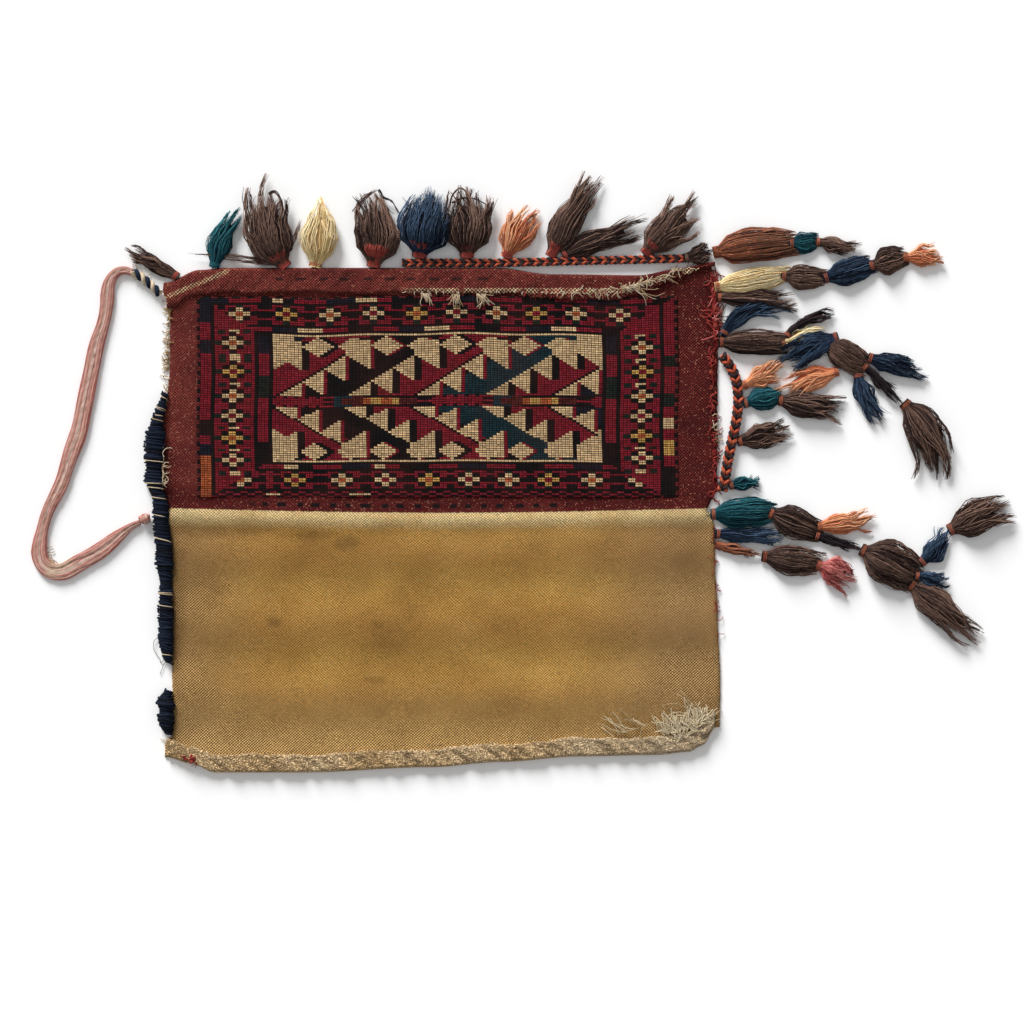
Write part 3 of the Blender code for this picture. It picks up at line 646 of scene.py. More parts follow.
    def build(self) -> bpy.types.Object:
        """Make the bunch, a dark core inside it as painted shade between the strands, and the thread round its
        neck.
        """
        rng = np.random.default_rng(sum(ord(letter) * (place + 3) for place, letter in enumerate(self.name)))
        knitter = Knitter()
        # Painted shade: a core in the wool's darkest colour fills the bunch, so that it shows as shade between
        # the strands.
        shares = np.linspace(0.0, 0.98 if self.blunt else 0.76, 9)
        middle, _ = self.axis(shares)
        half, height = self.envelope(shares)
        middle[:, 2] = height * 0.42
        taper = np.interp(shares, [0.0, 0.5, 0.76], [0.85, 0.84, 0.7 if self.blunt else 0.4])
        flat = height * 0.38 / (half * taper)
        knitter.tube(middle, half * taper, 8, tint(9, 0.0, 1.0), squeeze=flat[:, None])
        locks = self.part_locks(rng)
        per_lock = round((34 + self.width * 6000) / len(locks))
        for lock in locks:
            for _ in range(per_lock):
                places, radii = self.strand(rng, lock)
                shade = float(np.clip(lock.shade + rng.normal(0, 0.34), 0, 1))
                knitter.tube(places, radii, 3, tint(len(places), np.linspace(0, 1, len(places)), shade))
        item = dress(knitter.finish(self.name + "_wool", yarn_finish(self.yarn)), self.yarn.value.slot,
                     self.name)
        self.build_tie(rng)
        return item

    def build_tie(self, rng: np.random.Generator) -> None:
        """Wind the tie thread round the neck and lay its loose ends over the wool."""
        turns, per_turn = 5, 9
        steps = np.arange(turns * per_turn + 1) / per_turn
        unevenness = 0.0004 * np.sin(steps * 3.3 + rng.random() * 6)
        shares = (0.0014 + 0.0032 * steps / turns + unevenness) / self.length
        middle, left = self.axis(shares)
        half, height = self.envelope(shares)
        angle = TAU * steps
        thread = 0.00040
        half = half * (1 + 0.12 * np.sin(steps * 2.1 + rng.random() * 6))
        path = middle + left * ((half + thread) * np.cos(angle))[:, None]
        path[:, 2] = np.maximum(height / 2 + (height / 2 + thread) * np.sin(angle), thread)
        knitter = Knitter()
        knitter.tube(path, np.full(len(path), thread), 4, tint(len(path), 0.5, rng.random() * 0.5))
        for _ in range(round(self.sheath * 9500)):
            places, radii = self.loose_end(rng)
            knitter.tube(places, radii, 3, tint(len(places), rng.random(), rng.random() * 0.8))
        dress(knitter.finish(self.name + "_tie", yarn_finish(self.tie)), self.tie.value.slot)

    def loose_end(self, rng: np.random.Generator) -> tuple[np.ndarray, np.ndarray]:
        """Shape one loose end of the tie thread, lying on top of the wool."""
        reach = self.sheath * rng.uniform(0.45, 1.2) / self.length
        shares = np.linspace(0.0, reach, 8)
        middle, left = self.axis(shares)
        half, height = self.envelope(shares)
        side = rng.uniform(-0.75, 0.75)
        across = side * half * np.interp(shares / reach, [0, 1], [1.05, 0.75])
        across = across + rng.normal(0, 0.0012) * (shares / reach) ** 2
        places = middle + left * across[:, None]
        places[:, 2] = height / 2 * (1 + math.sqrt(1 - side * side)) + 0.0004
        return places, np.full(len(shares), 0.0005) * np.interp(shares / reach, [0, 0.7, 1], [1.2, 1.0, 0.4])


@dataclass(frozen=True)
class Wisp:
    """A thin lock that wanders off on its own.

    Attributes:
        yarn: what it is.
        route: the places it passes, in photograph pixels.
        count: how many strands.
        breadth: how far they spread, in metres.
        height: how high it lies.
        radius: of each strand.
    """

    yarn: Yarn
    route: tuple[Point, ...]
    count: int = 7
    breadth: float = 0.0011
    height: float = 0.003
    radius: float = 0.00038

    def strands(self, rng: np.random.Generator) -> list[tuple[np.ndarray, np.ndarray]]:
        """Shape every strand of the wisp."""
        places = [at(px, py) for px, py in self.route]
        path = evenly(smooth_route(tuple((place.x, place.y) for place in places), 8, self.height), 0.0022)
        share = np.linspace(0, 1, len(path))
        left = beside(path)
        made = []
        for _ in range(self.count):
            across = rng.normal(0, self.breadth) * (1 - 0.75 * share)
            across = across + 0.0004 * np.sin(TAU * (share * rng.uniform(1, 4) + rng.random()))
            thread = path + left * across[:, None]
            thread[:, 2] = np.maximum(self.radius, self.height + rng.normal(0, self.breadth * 0.5))
            keep = max(5, int(len(path) * rng.uniform(0.8, 1.0)))
            radii = self.radius * np.interp(np.linspace(0, 1, keep), [0, 0.7, 1], [1.2, 1.0, 0.35])
            made.append((thread[:keep], radii))
        return made


@dataclass
class Braid:
    """A chevron braid: two twisted ropes side by side, mirrored, so that their wools meet in Vs.

    Attributes:
        name: the CAD node that it replaces.
        route: its middle line, at half its height.
        width: across it.
        flatness: its height as a share of its width.
        pitch: along it, from one V to the next of the same wool.
        yarns: the two wools.
    """

    name: str
    route: np.ndarray
    width: float
    flatness: float
    pitch: float
    yarns: tuple[Yarn, Yarn]

    def build(self) -> bpy.types.Object:
        """Plait the strands into one piece, which stands for the CAD node."""
        path = evenly(self.route, 0.0012)
        runs = np.linspace(0, length_of(path), len(path))
        left = beside(path)
        knitter = Knitter()
        for rope in (-1, 1):
            for ply in range(len(self.yarns)):
                phase = TAU * (runs / self.pitch + ply / 2)
                side = rope * self.width * (0.215 + 0.125 * np.cos(phase))
                places = path + left * side[:, None]
                places[:, 2] += self.width * self.flatness * 0.17 * np.sin(phase)
                for strand in range(3):
                    turn = TAU * (strand / 3 + runs / 0.021)
                    thread = places + left * (self.width * 0.075 * np.cos(turn))[:, None]
                    thread[:, 2] += self.width * 0.075 * np.sin(turn)
                    thread[:, 2] = np.maximum(thread[:, 2], self.width * 0.11)
                    knitter.tube(thread, np.full(len(thread), self.width * 0.105), 6,
                                 tint(len(thread), 0.4, 0.22 * strand), squeeze=0.9, mark=ply)
        item = knitter.finish(self.name + "_plait", *(yarn_finish(kind) for kind in self.yarns))
        return dress(item, "braid wool", self.name)


@dataclass
class PileDesign:
    """The rule that gives every knot of the panel its dye.

    Columns run from the mouth edge and rows from the hem. The borders wrap a field of saw-toothed
    slanting branches that mirror about a spine.
    """

    columns: int = 133
    rows: int = 91
    side: int = 21
    top: int = 18
    upper_field: int = 27
    spine: int = 5
    lower_field: int = 24
    pitch: float = 19.0
    first_branch: float = 2.0
    top_flowers: tuple[int, ...] = (12, 25, 37, 49, 61, 72, 83, 94, 105, 117)
    bottom_flowers: tuple[int, ...] = (12, 27, 40, 52, 64, 75, 86, 97, 109, 122)
    left_flowers: tuple[int, ...] = (21, 34, 45, 54, 64, 74)
    right_flowers: tuple[int, ...] = (23, 34, 45, 54, 63, 73)

    def dye(self, column: int, row: int) -> Dye:
        """Return the dye of one knot."""
        field_bottom = self.top + self.upper_field + self.spine + self.lower_field
        inside = self.side <= column < self.columns - self.side and self.top <= row < field_bottom
        if inside:
            return self.field_dye(column - self.side, row - self.top)
        rise = min(row, 0 if row < 0 else row)
        from_side = min(column, self.columns - 1 - column)
        from_bottom = self.rows - 1 - row
        if row == self.top - 1 or row == field_bottom:
            if self.side <= column < self.columns - self.side:
                return Dye.CREAM
        if from_side < self.side and from_side <= rise and from_side <= from_bottom + 3:
            return self.side_dye(column, row, from_side)
        if row < self.top:
            return self.top_dye(column, row)
        if row > field_bottom:
            return self.bottom_dye(column, from_bottom)
        return self.side_dye(column, row, from_side)

    def field_dye(self, column: int, row: int) -> Dye:
        """Return the dye inside the field, measured from its upper left corner."""
        if row < self.upper_field:
            return self.branch_dye(column, self.upper_field - 1 - row, self.first_branch)
        row -= self.upper_field
        if row < self.spine:
            return self.spine_dye(column, row)
        row -= self.spine
        return self.branch_dye(column, row * self.upper_field / self.lower_field, 1.0)

    def toothed(self, column: float, away: float, start: float) -> bool:
        """Whether a knot is in a cream saw tooth, link or diamond of the branch from start."""
        for tooth in range(3):
            run = column - start - 6 * tooth
            if 0 <= run < 6 and abs(away - 6 * tooth) <= (run + 0.7) * 0.98:
                return column >= 0 and start >= 0
        run = column - start - 18
        if 0 <= run <= 6 and away >= 18 - run and away < 25:
            return True
        linked = abs(column - start - 20) / 4.3 + abs(away - 22) / 4
        if linked < 1 and column <= start + 24:
            return True
        return abs(column - start - 10) / 4.4 + abs(away - 22) / 4.2 < 1

    def branch_dye(self, column: int, away: float, first: float) -> Dye:
        """Return the dye of half the field.

        Args:
            column: knots from the field's left end.
            away: knots from the spine.
            first: where the first branch starts.

        Returns:
            The knot's dye.
        """
        starts = [first + self.pitch * index for index in range(-1, 5)]
        if column < 6 and away > 11 + column * 1.1:
            return Dye.CREAM
        if column >= 84 and away >= 18.4 - 0.95 * (column - 84):
            return Dye.CREAM
        if any(self.toothed(column, away, start) for start in starts):
            return Dye.CREAM
        band = math.floor((column - away - first) / self.pitch)
        run = (column - away - first) % self.pitch
        before = any(self.toothed(column - 1, away, start) for start in starts)
        before = before or any(self.toothed(column - 2, away, start) for start in starts)
        if band % 2 == 0:
            if any(self.toothed(column - 1, away, start) for start in starts):
                return Dye.CRIMSON
            if away > 6 and run < 4 and int(away) % 6 == 3:
                return Dye.CRIMSON
            return (Dye.BLACK, Dye.TEAL, Dye.NAVY)[(band // 2) % 3] if run > 4 else Dye.BLACK
        if before or run >= self.pitch - 1.5:
            return Dye.BLACK
        if run < 3 and int(away) % 6 == 3:
            return Dye.NAVY
        return Dye.CRIMSON

    def spine_dye(self, column: int, row: int) -> Dye:
        """Return the dye of the spine: joined arrow blocks in changing wools."""
        place = column % 44
        edge = row in (0, self.spine - 1)
        if place < 14:
            return Dye.CRIMSON if not edge or place % 3 else Dye.BLACK
        if place < 17:
            return Dye.BLACK if row % 2 else Dye.CRIMSON
        if place < 19:
            return Dye.TEAL
        if place < 25:
            return Dye.TEAL if edge and place < 22 else Dye.BROWN
        if place < 35:
            return Dye.BLACK if edge else (Dye.YELLOW if (place // 3) % 2 else Dye.ORANGE)
        if place < 40:
            return Dye.BLACK if edge else Dye.BROWN
        return Dye.CRIMSON if row == 2 else Dye.BLACK

    def flower(self, along: float, across: float) -> Dye | None:
        """Return the dye of a four-petalled flower at an offset from its middle, or nothing."""
        block_along, block_across = math.floor((along + 1) / 2), math.floor((across + 1) / 2)
        reach = abs(block_along) + abs(block_across)
        if reach == 0:
            return Dye.ORANGE
        if reach == 1:
            return Dye.CREAM
        if abs(block_along) == 1 and abs(block_across) == 1:
            return Dye.BLACK
        if reach == 2:
            return Dye.GREEN if block_along == 0 else Dye.BLACK
        return None

    def border_dye(self, along: float, across: float, flowers: Sequence[int], small: bool) -> Dye:
        """Return the dye of a main border.

        Args:
            along: knots along the border.
            across: knots from the border's middle line.
            flowers: the middles of its flowers.
            small: whether small cream blocks lie between the flowers.

        Returns:
            The knot's dye.
        """
        nearest = min(flowers, key=lambda middle: abs(middle - along))
        found = self.flower(along - nearest, across)
        if found is not None:
            index = flowers.index(nearest)
            if found is Dye.CREAM and index % 3 == 1:
                return Dye.YELLOW
            if found is Dye.ORANGE and index % 2:
                return Dye.CRIMSON
            return found
        gap = abs(along - nearest)
        if 5 <= gap < 7 and abs(across) < 1.5:
            return Dye.CREAM if small else Dye.BLACK
        if 5 <= gap < 7 and 2.5 <= abs(across) < 4.5:
            return Dye.GREEN if small else Dye.BLACK
        return Dye.CRIMSON

    def side_dye(self, column: int, row: int, depth: int) -> Dye:
        """Return the dye of a side border at a depth from the panel's edge."""
        left = column < self.columns / 2
        if depth == 0:
            return Dye.BLACK if (row // 2) % 2 else Dye.MADDER
        if depth < 4:
            return self.guard_dye(row, left)
        if depth in (4, 16):
            return Dye.BLACK
        if depth < 16:
            flowers = self.left_flowers if left else self.right_flowers
            return self.border_dye(row, depth - 10, flowers, True)
        if depth < 20:
            inner = (Dye.NAVY, Dye.CRIMSON, Dye.GREEN, Dye.CRIMSON, Dye.CRIMSON, Dye.BLACK)
            return inner[min(5, max(0, (row - 16) // 10))]
        return Dye.BLACK

    def guard_dye(self, row: int, left: bool) -> Dye:
        """Return the dye of an outer side guard, which changes wool down its length."""
        if left:
            stops = ((12, Dye.NAVY), (20, Dye.CRIMSON), (26, Dye.NAVY), (56, Dye.CRIMSON), (63, Dye.BLACK),
                     (67, Dye.CRIMSON), (72, Dye.NAVY), (91, Dye.ORANGE))
        else:
            stops = ((27, Dye.CRIMSON), (32, Dye.GREEN), (44, Dye.CRIMSON), (50, Dye.GREEN), (55, Dye.CRIMSON),
                     (60, Dye.CREAM), (65, Dye.CRIMSON), (72, Dye.YELLOW), (77, Dye.CRIMSON), (91, Dye.BLACK))
        return next(dye for end, dye in stops if row < end)

    def top_dye(self, column: int, row: int) -> Dye:
        """Return the dye of the border under the hem."""
        if row == 0:
            return Dye.BLACK if (column // 2) % 2 else Dye.MADDER
        if row < 3:
            dash = 21 <= column < 24 or 44 <= column < 50
            return Dye.CREAM if dash else (Dye.NAVY, Dye.CRIMSON, Dye.BLACK, Dye.CRIMSON)[(column // 9) % 4]
        if row in (3, 13):
            return Dye.BLACK
        if row < 13:
            return self.border_dye(column, row - 8, self.top_flowers, False)
        if row < 16:
            return (Dye.CRIMSON, Dye.BLACK, Dye.CRIMSON, Dye.NAVY, Dye.CREAM)[(column // 7) % 5]
        return Dye.BLACK

    def bottom_dye(self, column: int, depth: int) -> Dye:
        """Return the dye of the border beside the crease, at a depth from the panel's lower edge."""
        if depth < 3:
            dash = 19 <= column < 23 or 42 <= column < 48
            if depth == 1 and dash:
                return Dye.CREAM
            return Dye.BLACK if (column // 2 + depth) % 2 else Dye.CRIMSON
        if depth in (3, 12):
            return Dye.BLACK
        if depth < 12:
            return self.border_dye(column, depth - 8, self.bottom_flowers, False)
        if depth < 15:
            dash = 24 <= column < 28 or 49 <= column < 52
            return Dye.CREAM if dash else (Dye.CRIMSON, Dye.NAVY, Dye.CRIMSON, Dye.BLACK)[(column // 8) % 4]
        return Dye.BLACK


@dataclass
class Pile:
    """The knotted panel: each knot is two small tufts of wool side by side.

    Attributes:
        left: X of the panel's left edge.
        right: X of its right edge.
        top: Y of its edge under the hem.
        bottom: Y of its edge beside the crease.
        base: height of the weave it is knotted on.
        rise: how far the knots stand above that.
    """

    left: float = at(197, 0).x
    right: float = at(678, 0).x
    top: float = at(0, 296).y
    bottom: float = at(0, 497.5).y
    base: float = 0.0030
    rise: float = 0.0019
    design: PileDesign = field(default_factory=PileDesign)

    def build(self) -> bpy.types.Object:
        """Make the knots as one relief, each with its own dye and its own height."""
        rng = np.random.default_rng(11)
        columns, rows = self.design.columns, self.design.rows
        across, down = 4, 2
        x = np.linspace(self.left, self.right, columns * across + 1)
        y = np.linspace(self.top, self.bottom, rows * down + 1)
        grid_x, grid_y = np.meshgrid(x, y)
        step = (self.right - self.left) / columns
        slope = 0.0012 * np.sin(grid_x * 21 + 1.1) + 0.0007 * np.sin(grid_x * 67)
        grid_y = grid_y + slope * np.interp(grid_y, [self.bottom, self.top], [0.2, 1.0])
        grid_x = grid_x + 0.0006 * np.sin(grid_y * 60) + rng.normal(0, step * 0.03, grid_x.shape)
        lobe = np.array([0.1, 1.0, 0.45, 1.0])
        profile = np.concatenate([np.tile(lobe, columns), [0.25]])
        ridge = np.where(np.arange(rows * down + 1) % 2, 1.0, 0.18)
        wear = rng.uniform(0.75, 1.1, (rows, columns))
        wear = np.repeat(np.repeat(wear, down, axis=0), across, axis=1)
        wear = np.pad(wear, ((0, 1), (0, 1)), mode="edge")
        height = self.base + self.rise * ridge[:, None] * profile[None, :] * wear
        height[0], height[-1], height[:, 0], height[:, -1] = (self.base - 0.0004,) * 4
        points = np.stack([grid_x, grid_y, height], axis=-1).reshape(-1, 3)
        wide = len(x)
        row, column = np.meshgrid(np.arange(len(y) - 1), np.arange(wide - 1), indexing="ij")
        first = row * wide + column
        quads = np.stack([first, first + wide, first + wide + 1, first + 1], axis=-1).reshape(-1, 4)
        mesh = bpy.data.meshes.new("knotted_panel")
        mesh.from_pydata(points.tolist(), [], quads.tolist())
        self.tie_dyes(mesh, rng, across, down)
        mesh.shade_smooth()
        mesh.materials.append(self.finish())
        item = bpy.data.objects.new("knotted_panel", mesh)
        bpy.context.scene.collection.objects.link(item)
        return dress(item, "red and beige cloth")

    def tie_dyes(self, mesh: bpy.types.Mesh, rng: np.random.Generator, across: int, down: int) -> None:
        """Write each knot's dye, worn a little lighter or darker, on its own faces."""
        columns, rows = self.design.columns, self.design.rows
        dyes = np.array([[self.design.dye(column, row).value for column in range(columns)]
                         for row in range(rows)])
        worn = rng.normal(1.0, 0.13, (rows, columns, 1)).clip(0.6, 1.5)
        row_wave = np.sin(np.arange(rows) * 0.55)[:, None, None]
        bands = 1.0 + 0.08 * row_wave * rng.uniform(0.5, 1.0, (rows, 1, 1))
        dyes = dyes * worn * bands
        reds = (dyes[:, :, 0] > dyes[:, :, 1] * 3)[:, :, None] * rng.uniform(0.0, 1.0, (rows, columns, 1)) ** 2
        dyes = dyes + reds * np.array([0.05, 0.006, 0.022])
        corner = np.concatenate([dyes, np.ones((rows, columns, 1))], axis=2)
        corner = np.repeat(np.repeat(corner, down, axis=0), across, axis=1).reshape(-1, 4)
        layer = mesh.color_attributes.new("dye", "FLOAT_COLOR", "CORNER")
        layer.data.foreach_set("color", np.repeat(corner, 4, axis=0).astype(np.float32).ravel())

    def finish(self) -> bpy.types.Material:
        """Return the pile's material: its dyes, faded in soft patches, with painted shade between the knots and a
        little painted highlight on their tops.
        """
        finish = Finish("knotted wool pile", 0.92)
        dye, _ = finish.attribute("dye")
        _, _, z = finish.place()
        # Painted shade and highlight: the knots' colour is darkened towards their bases, between the knots, and
        # brightened a little on their tops, by height.
        depth = z.between(self.base + self.rise * 0.12, self.base + self.rise * 0.75)
        painted_shade_and_highlight = finish.mix(depth, (0.13, 0.09, 0.09), (1.12, 1.12, 1.12))
        colour = finish.mix(1.0, dye, painted_shade_and_highlight, "MULTIPLY")
        faded = finish.noise(22.0, 3.0).between(0.35, 0.75) * 0.10
        colour = finish.mix(faded, colour, linear(120, 62, 46))
        finish.colour(colour)
        finish.relief(finish.noise(3200.0, 2.0), 0.0003)
        return finish.material


def eased(points: Sequence[Point], place: np.ndarray) -> np.ndarray:
    """Read values from (place, value) pairs, easing from one to the next."""
    place = np.asarray(place, float)
    places, values = np.array(points).T
    index = np.clip(np.searchsorted(places, place, side="right") - 1, 0, len(places) - 2)
    share = np.clip((place - places[index]) / (places[index + 1] - places[index]), 0, 1)
    return values[index] + (values[index + 1] - values[index]) * share * share * (3 - 2 * share)


@dataclass(frozen=True)
class Outline:
    """The cloth's four edges, which wander from a rectangle."""

    top: tuple[Point, ...] = ((0.0, -0.014), (0.06, -0.002), (0.11, 0.0), (0.60, 0.0), (0.70, -0.006),
                              (0.86, -0.007), (0.93, -0.001), (1.0, 0.006))
    bottom: tuple[Point, ...] = ((0.0, -0.0145), (0.044, -0.0087), (0.09, 0.0), (0.25, 0.0), (0.48, -0.005),
                                 (0.61, -0.010), (0.75, -0.0152), (0.89, -0.0166), (0.95, -0.0195),
                                 (0.975, -0.0255), (1.0, -0.043))
    left: tuple[Point, ...] = ((0.0, 0.0), (0.045, 0.003), (0.083, -0.0041), (0.2, -0.0035), (0.25, -0.0016),
                               (0.30, 0.0025), (0.43, 0.003), (0.475, -0.002), (0.5, -0.0013), (0.56, -0.0055),
                               (0.926, -0.006), (0.943, 0.001), (1.0, 0.0015))
    right: tuple[Point, ...] = ((0.0, -0.004), (0.1, 0.002), (0.44, 0.001), (0.478, -0.009), (0.515, -0.001),
                                (0.6, -0.0005), (0.68, 0.0017), (0.82, 0.004), (1.0, 0.003))

    def crease_y(self, x: np.ndarray) -> np.ndarray:
        """Return Y of the crease, which sags a little between the two sides."""
        return -CREASE_SAG * np.sin(math.pi * np.clip(x / CLOTH_WIDTH + 0.5, 0, 1))

    def top_y(self, x: np.ndarray) -> np.ndarray:
        """Return Y of the top edge."""
        return FRONT_HEIGHT + eased(self.top, x / CLOTH_WIDTH + 0.5)

    def bottom_y(self, x: np.ndarray) -> np.ndarray:
        """Return Y of the bottom edge."""
        return -BACK_HEIGHT - eased(self.bottom, x / CLOTH_WIDTH + 0.5)

    def share(self, y: np.ndarray) -> np.ndarray:
        """Return how far down the cloth Y lies, 0 at the top and 1 at the bottom."""
        return (FRONT_HEIGHT - y) / (FRONT_HEIGHT + BACK_HEIGHT)

    def left_x(self, y: np.ndarray) -> np.ndarray:
        """Return X of the mouth edge."""
        return MOUTH - eased(self.left, self.share(y))

    def right_x(self, y: np.ndarray) -> np.ndarray:
        """Return X of the tasselled edge."""
        return TASSEL_EDGE + eased(self.right, self.share(y))


OUTLINE = Outline()


def plan_uv(mesh: bpy.types.Mesh, under: np.ndarray) -> None:
    """Lay a flat piece out as seen from above, its underside in a strip of its own.

    Args:
        mesh: the piece's mesh.
        under: for each face, whether it is part of the underside.
    """
    places = np.empty(len(mesh.vertices) * 3)
    mesh.vertices.foreach_get("co", places)
    places = places.reshape(-1, 3)[:, :2]
    low, high = places.min(0), places.max(0)
    flat = (places - low) / (high - low)
    loops = np.empty(len(mesh.loops), int)
    mesh.loops.foreach_get("vertex_index", loops)
    uv = flat[loops]
    starts = np.empty(len(mesh.polygons), int)
    totals = np.empty(len(mesh.polygons), int)
    mesh.polygons.foreach_get("loop_start", starts)
    mesh.polygons.foreach_get("loop_total", totals)
    below = np.repeat(under, totals)
    uv = np.where(below[:, None], uv * [0.9, 0.02] + [0.05, 0.01], uv * [0.98, 0.95] + [0.01, 0.045])
    layer = mesh.uv_layers.new(name="OFBake")
    layer.data.foreach_set("uv", uv.astype(np.float32).ravel())


def slab(name: str, grid: np.ndarray, floor: float, marks: np.ndarray,
         *materials: bpy.types.Material) -> bpy.types.Object:
    """Make a closed sheet from a grid of its upper side.

    Args:
        name: the piece's name.
        grid: rows by columns by 3 places of the upper side, from its top left.
        floor: Z of its flat underside.
        marks: rows - 1 by columns - 1 material numbers.
        materials: what it is made of.

    Returns:
        The object.
    """
    rows, columns = grid.shape[:2]
    index = np.arange(rows * columns).reshape(rows, columns)
    top = np.stack([index[:-1, :-1], index[1:, :-1], index[1:, 1:], index[:-1, 1:]], axis=-1).reshape(-1, 4)
    rim = np.concatenate([index[0, :-1], index[:-1, -1], index[-1, :0:-1], index[:0:-1, 0]])
    below = rows * columns + np.arange(len(rim))
    lowered = grid.reshape(-1, 3)[rim].copy()
    lowered[:, 2] = floor
    points = np.vstack([grid.reshape(-1, 3), lowered])
    walls = np.stack([rim, np.roll(rim, -1), np.roll(below, -1), below], axis=-1)
    faces = top.tolist() + walls.tolist() + [below[::-1].tolist()]
    mesh = bpy.data.meshes.new(name)
    mesh.from_pydata(points.tolist(), [], faces)
    numbers = np.concatenate([marks.ravel(), np.zeros(len(walls) + 1, int)])
    mesh.polygons.foreach_set("material_index", numbers.astype(np.int32))
    under = np.zeros(len(faces), bool)
    under[-1] = True
    plan_uv(mesh, under)
    mesh.polygons.foreach_set("use_smooth", ~under)
    for material in materials:
        mesh.materials.append(material)
    item = bpy.data.objects.new(name, mesh)
    bpy.context.scene.collection.objects.link(item)
    return item


def weave_relief(finish: Finish, x: Socket, y: Socket, warp: float, weft: float) -> Socket:
    """Return a plain weave's height, 0 to 1, from its warp and weft pitches in metres."""
    drift = finish.noise(40.0, 3.0) * 0.0045
    rough = finish.noise(700.0, 2.0)
    woven = (x + drift).wave(warp) * (y + drift).wave(weft) * 0.5 + 0.5
    return (woven * 0.72 + rough * 0.5).between(0.22, 0.92)


def line_dashes(finish: Finish, x: Socket, away: Socket, pitch: float, half: float) -> Socket:
    """Return 1 on a row of short uneven stitches along a line.

    Args:
        finish: the material they belong to.
        x: the place along the line.
        away: the distance from the line.
        pitch: from one stitch to the next.
        half: half the width of a stitch.

    Returns:
        The mask.
    """
    drift = finish.noise(30.0, 2.0) * 0.02
    along = (x + drift).wave(pitch).between(0.1, 0.5)
    return (abs(away) * -1.0 + half).between(0.0, half * 0.5) * along


def crease_line(x: Socket, y: Socket) -> Socket:
    """Return how far above the crease a place lies."""
    share = x * (1 / CLOTH_WIDTH) + 0.5
    return y + share.wave(2.0) * CREASE_SAG


def red_colour(finish: Finish, x: Socket, y: Socket) -> Socket:
    """Return the front's red plain weave: brick at the hem and mouth, wine red beside the tassels."""
    above = crease_line(x, y)
    cloud = finish.noise(16.0, 4.0, (1.0, 2.0, 1.0))
    brick = finish.ramp(cloud, ((0.3, linear(98, 30, 28)), (0.5, linear(122, 42, 36)),
                                (0.72, linear(136, 54, 44))))
    wine = finish.ramp(cloud, ((0.3, linear(76, 12, 12)), (0.5, linear(94, 20, 18)),
                               (0.72, linear(108, 30, 26))))
    aged = (x.between(0.05, 0.24) + (above * -1.0 + 0.03).between(0.0, 0.02)).least(1.0)
    colour = finish.mix(aged, brick, wine)
    # Painted shade and highlight: the red is darkened in the weave's hollows and lightened on its raised threads,
    # by the weave's height.
    height = weave_relief(finish, x, y, WARP_PITCH, RED_WEFT_PITCH)
    colour = finish.mix(height, finish.mix(1.0, colour, (0.10, 0.06, 0.06), "MULTIPLY"),
                        finish.mix(1.0, colour, (1.80, 2.3, 2.3), "MULTIPLY"))
    speckle = finish.noise(760.0, 2.0).between(0.42, 0.70) * 0.6
    colour = finish.mix(speckle, colour, linear(56, 18, 20))
    flecks = finish.noise(620.0, 1.0).between(0.62, 0.72) * 0.8
    colour = finish.mix(flecks, colour, linear(196, 132, 104))
    seam = (line_dashes(finish, x, above - 0.0062, 0.0160, 0.0026)
            * (abs(x + 0.03) * -1.0 + 0.16).between(0.0, 0.02))
    colour = finish.mix(seam, colour, linear(24, 16, 20))
    top = FRONT_HEIGHT - 0.011
    mended = line_dashes(finish, x, y - top, 0.021, 0.0019) * (abs(x + 0.06) * -1.0 + 0.11).between(0.0, 0.01)
    return finish.mix(mended * 0.8, colour, linear(40, 26, 24))


# Soiled marks on the back: photo column and row, half width and half height in pixels, strength
SOILED_MARKS = ((347, 543, 16, 9, 0.85), (312, 535, 34, 6, 0.6), (275, 622, 9, 7, 0.7),
                (378, 625, 9, 5, 0.6), (375, 680, 13, 5, 0.5), (218, 530, 60, 9, 0.65),
                (560, 545, 60, 14, 0.3), (690, 560, 22, 40, 0.35), (178, 600, 10, 90, 0.4))


def beige_colour(finish: Finish, x: Socket, y: Socket) -> Socket:
    """Return the back's plain weave: golden in the middle, greyer at its sides, with a painted highlight along
    the crease.
    """
    above = crease_line(x, y)
    colour = finish.ramp(finish.noise(11.0, 4.0, (1.0, 1.5, 1.0)),
                         ((0.25, linear(164, 122, 60)), (0.5, linear(190, 146, 76)),
                          (0.75, linear(208, 164, 92))))
    side = (abs(x + 0.02) - 0.12).between(0.0, 0.14)
    low = (y * -1.0 - 0.15).between(0.0, 0.09)
    colour = finish.mix(side * 0.8, colour, linear(168, 134, 92))
    colour = finish.mix(low * 0.7, colour, linear(200, 164, 110))
    for px, py, wide, tall, strength in SOILED_MARKS:
        spot = at(px, py)
        run = (x - spot.x) * (1 / (wide * PHOTO_PIXEL))
        fall = (y - spot.y) * (1 / (tall * PHOTO_PIXEL))
        ring = run * run + fall * fall + finish.noise(70.0, 3.0) * 1.4
        mark = (ring * -1.0 + 2.0).between(0.0, 1.6) * (strength * 0.72)
        colour = finish.mix(mark, colour, linear(104, 76, 38))
    # Painted highlight: a pale band along the ridge just below the crease.
    pale = (above + 0.019).between(0.0, 0.012) * (finish.noise(30.0, 3.0).between(0.25, 0.6) * 0.4 + 0.5)
    colour = finish.mix(pale, colour, linear(226, 204, 154))
    # Painted shade and highlight: the beige is darkened in the weave's hollows and lightened on its raised
    # threads, by the weave's height.
    height = weave_relief(finish, x, y, WARP_PITCH, BEIGE_WEFT_PITCH)
    colour = finish.mix(height, finish.mix(1.0, colour, (0.36, 0.30, 0.22), "MULTIPLY"),
                        finish.mix(1.0, colour, (1.64, 1.62, 1.58), "MULTIPLY"))
    speckle = finish.noise(760.0, 2.0).between(0.42, 0.70) * 0.42
    colour = finish.mix(speckle, colour, linear(104, 76, 38))
    slubs = finish.noise(300.0, 2.0, (0.3, 1.0, 1.0)).between(0.56, 0.76) * 0.22
    return finish.mix(slubs, colour, linear(206, 174, 118))


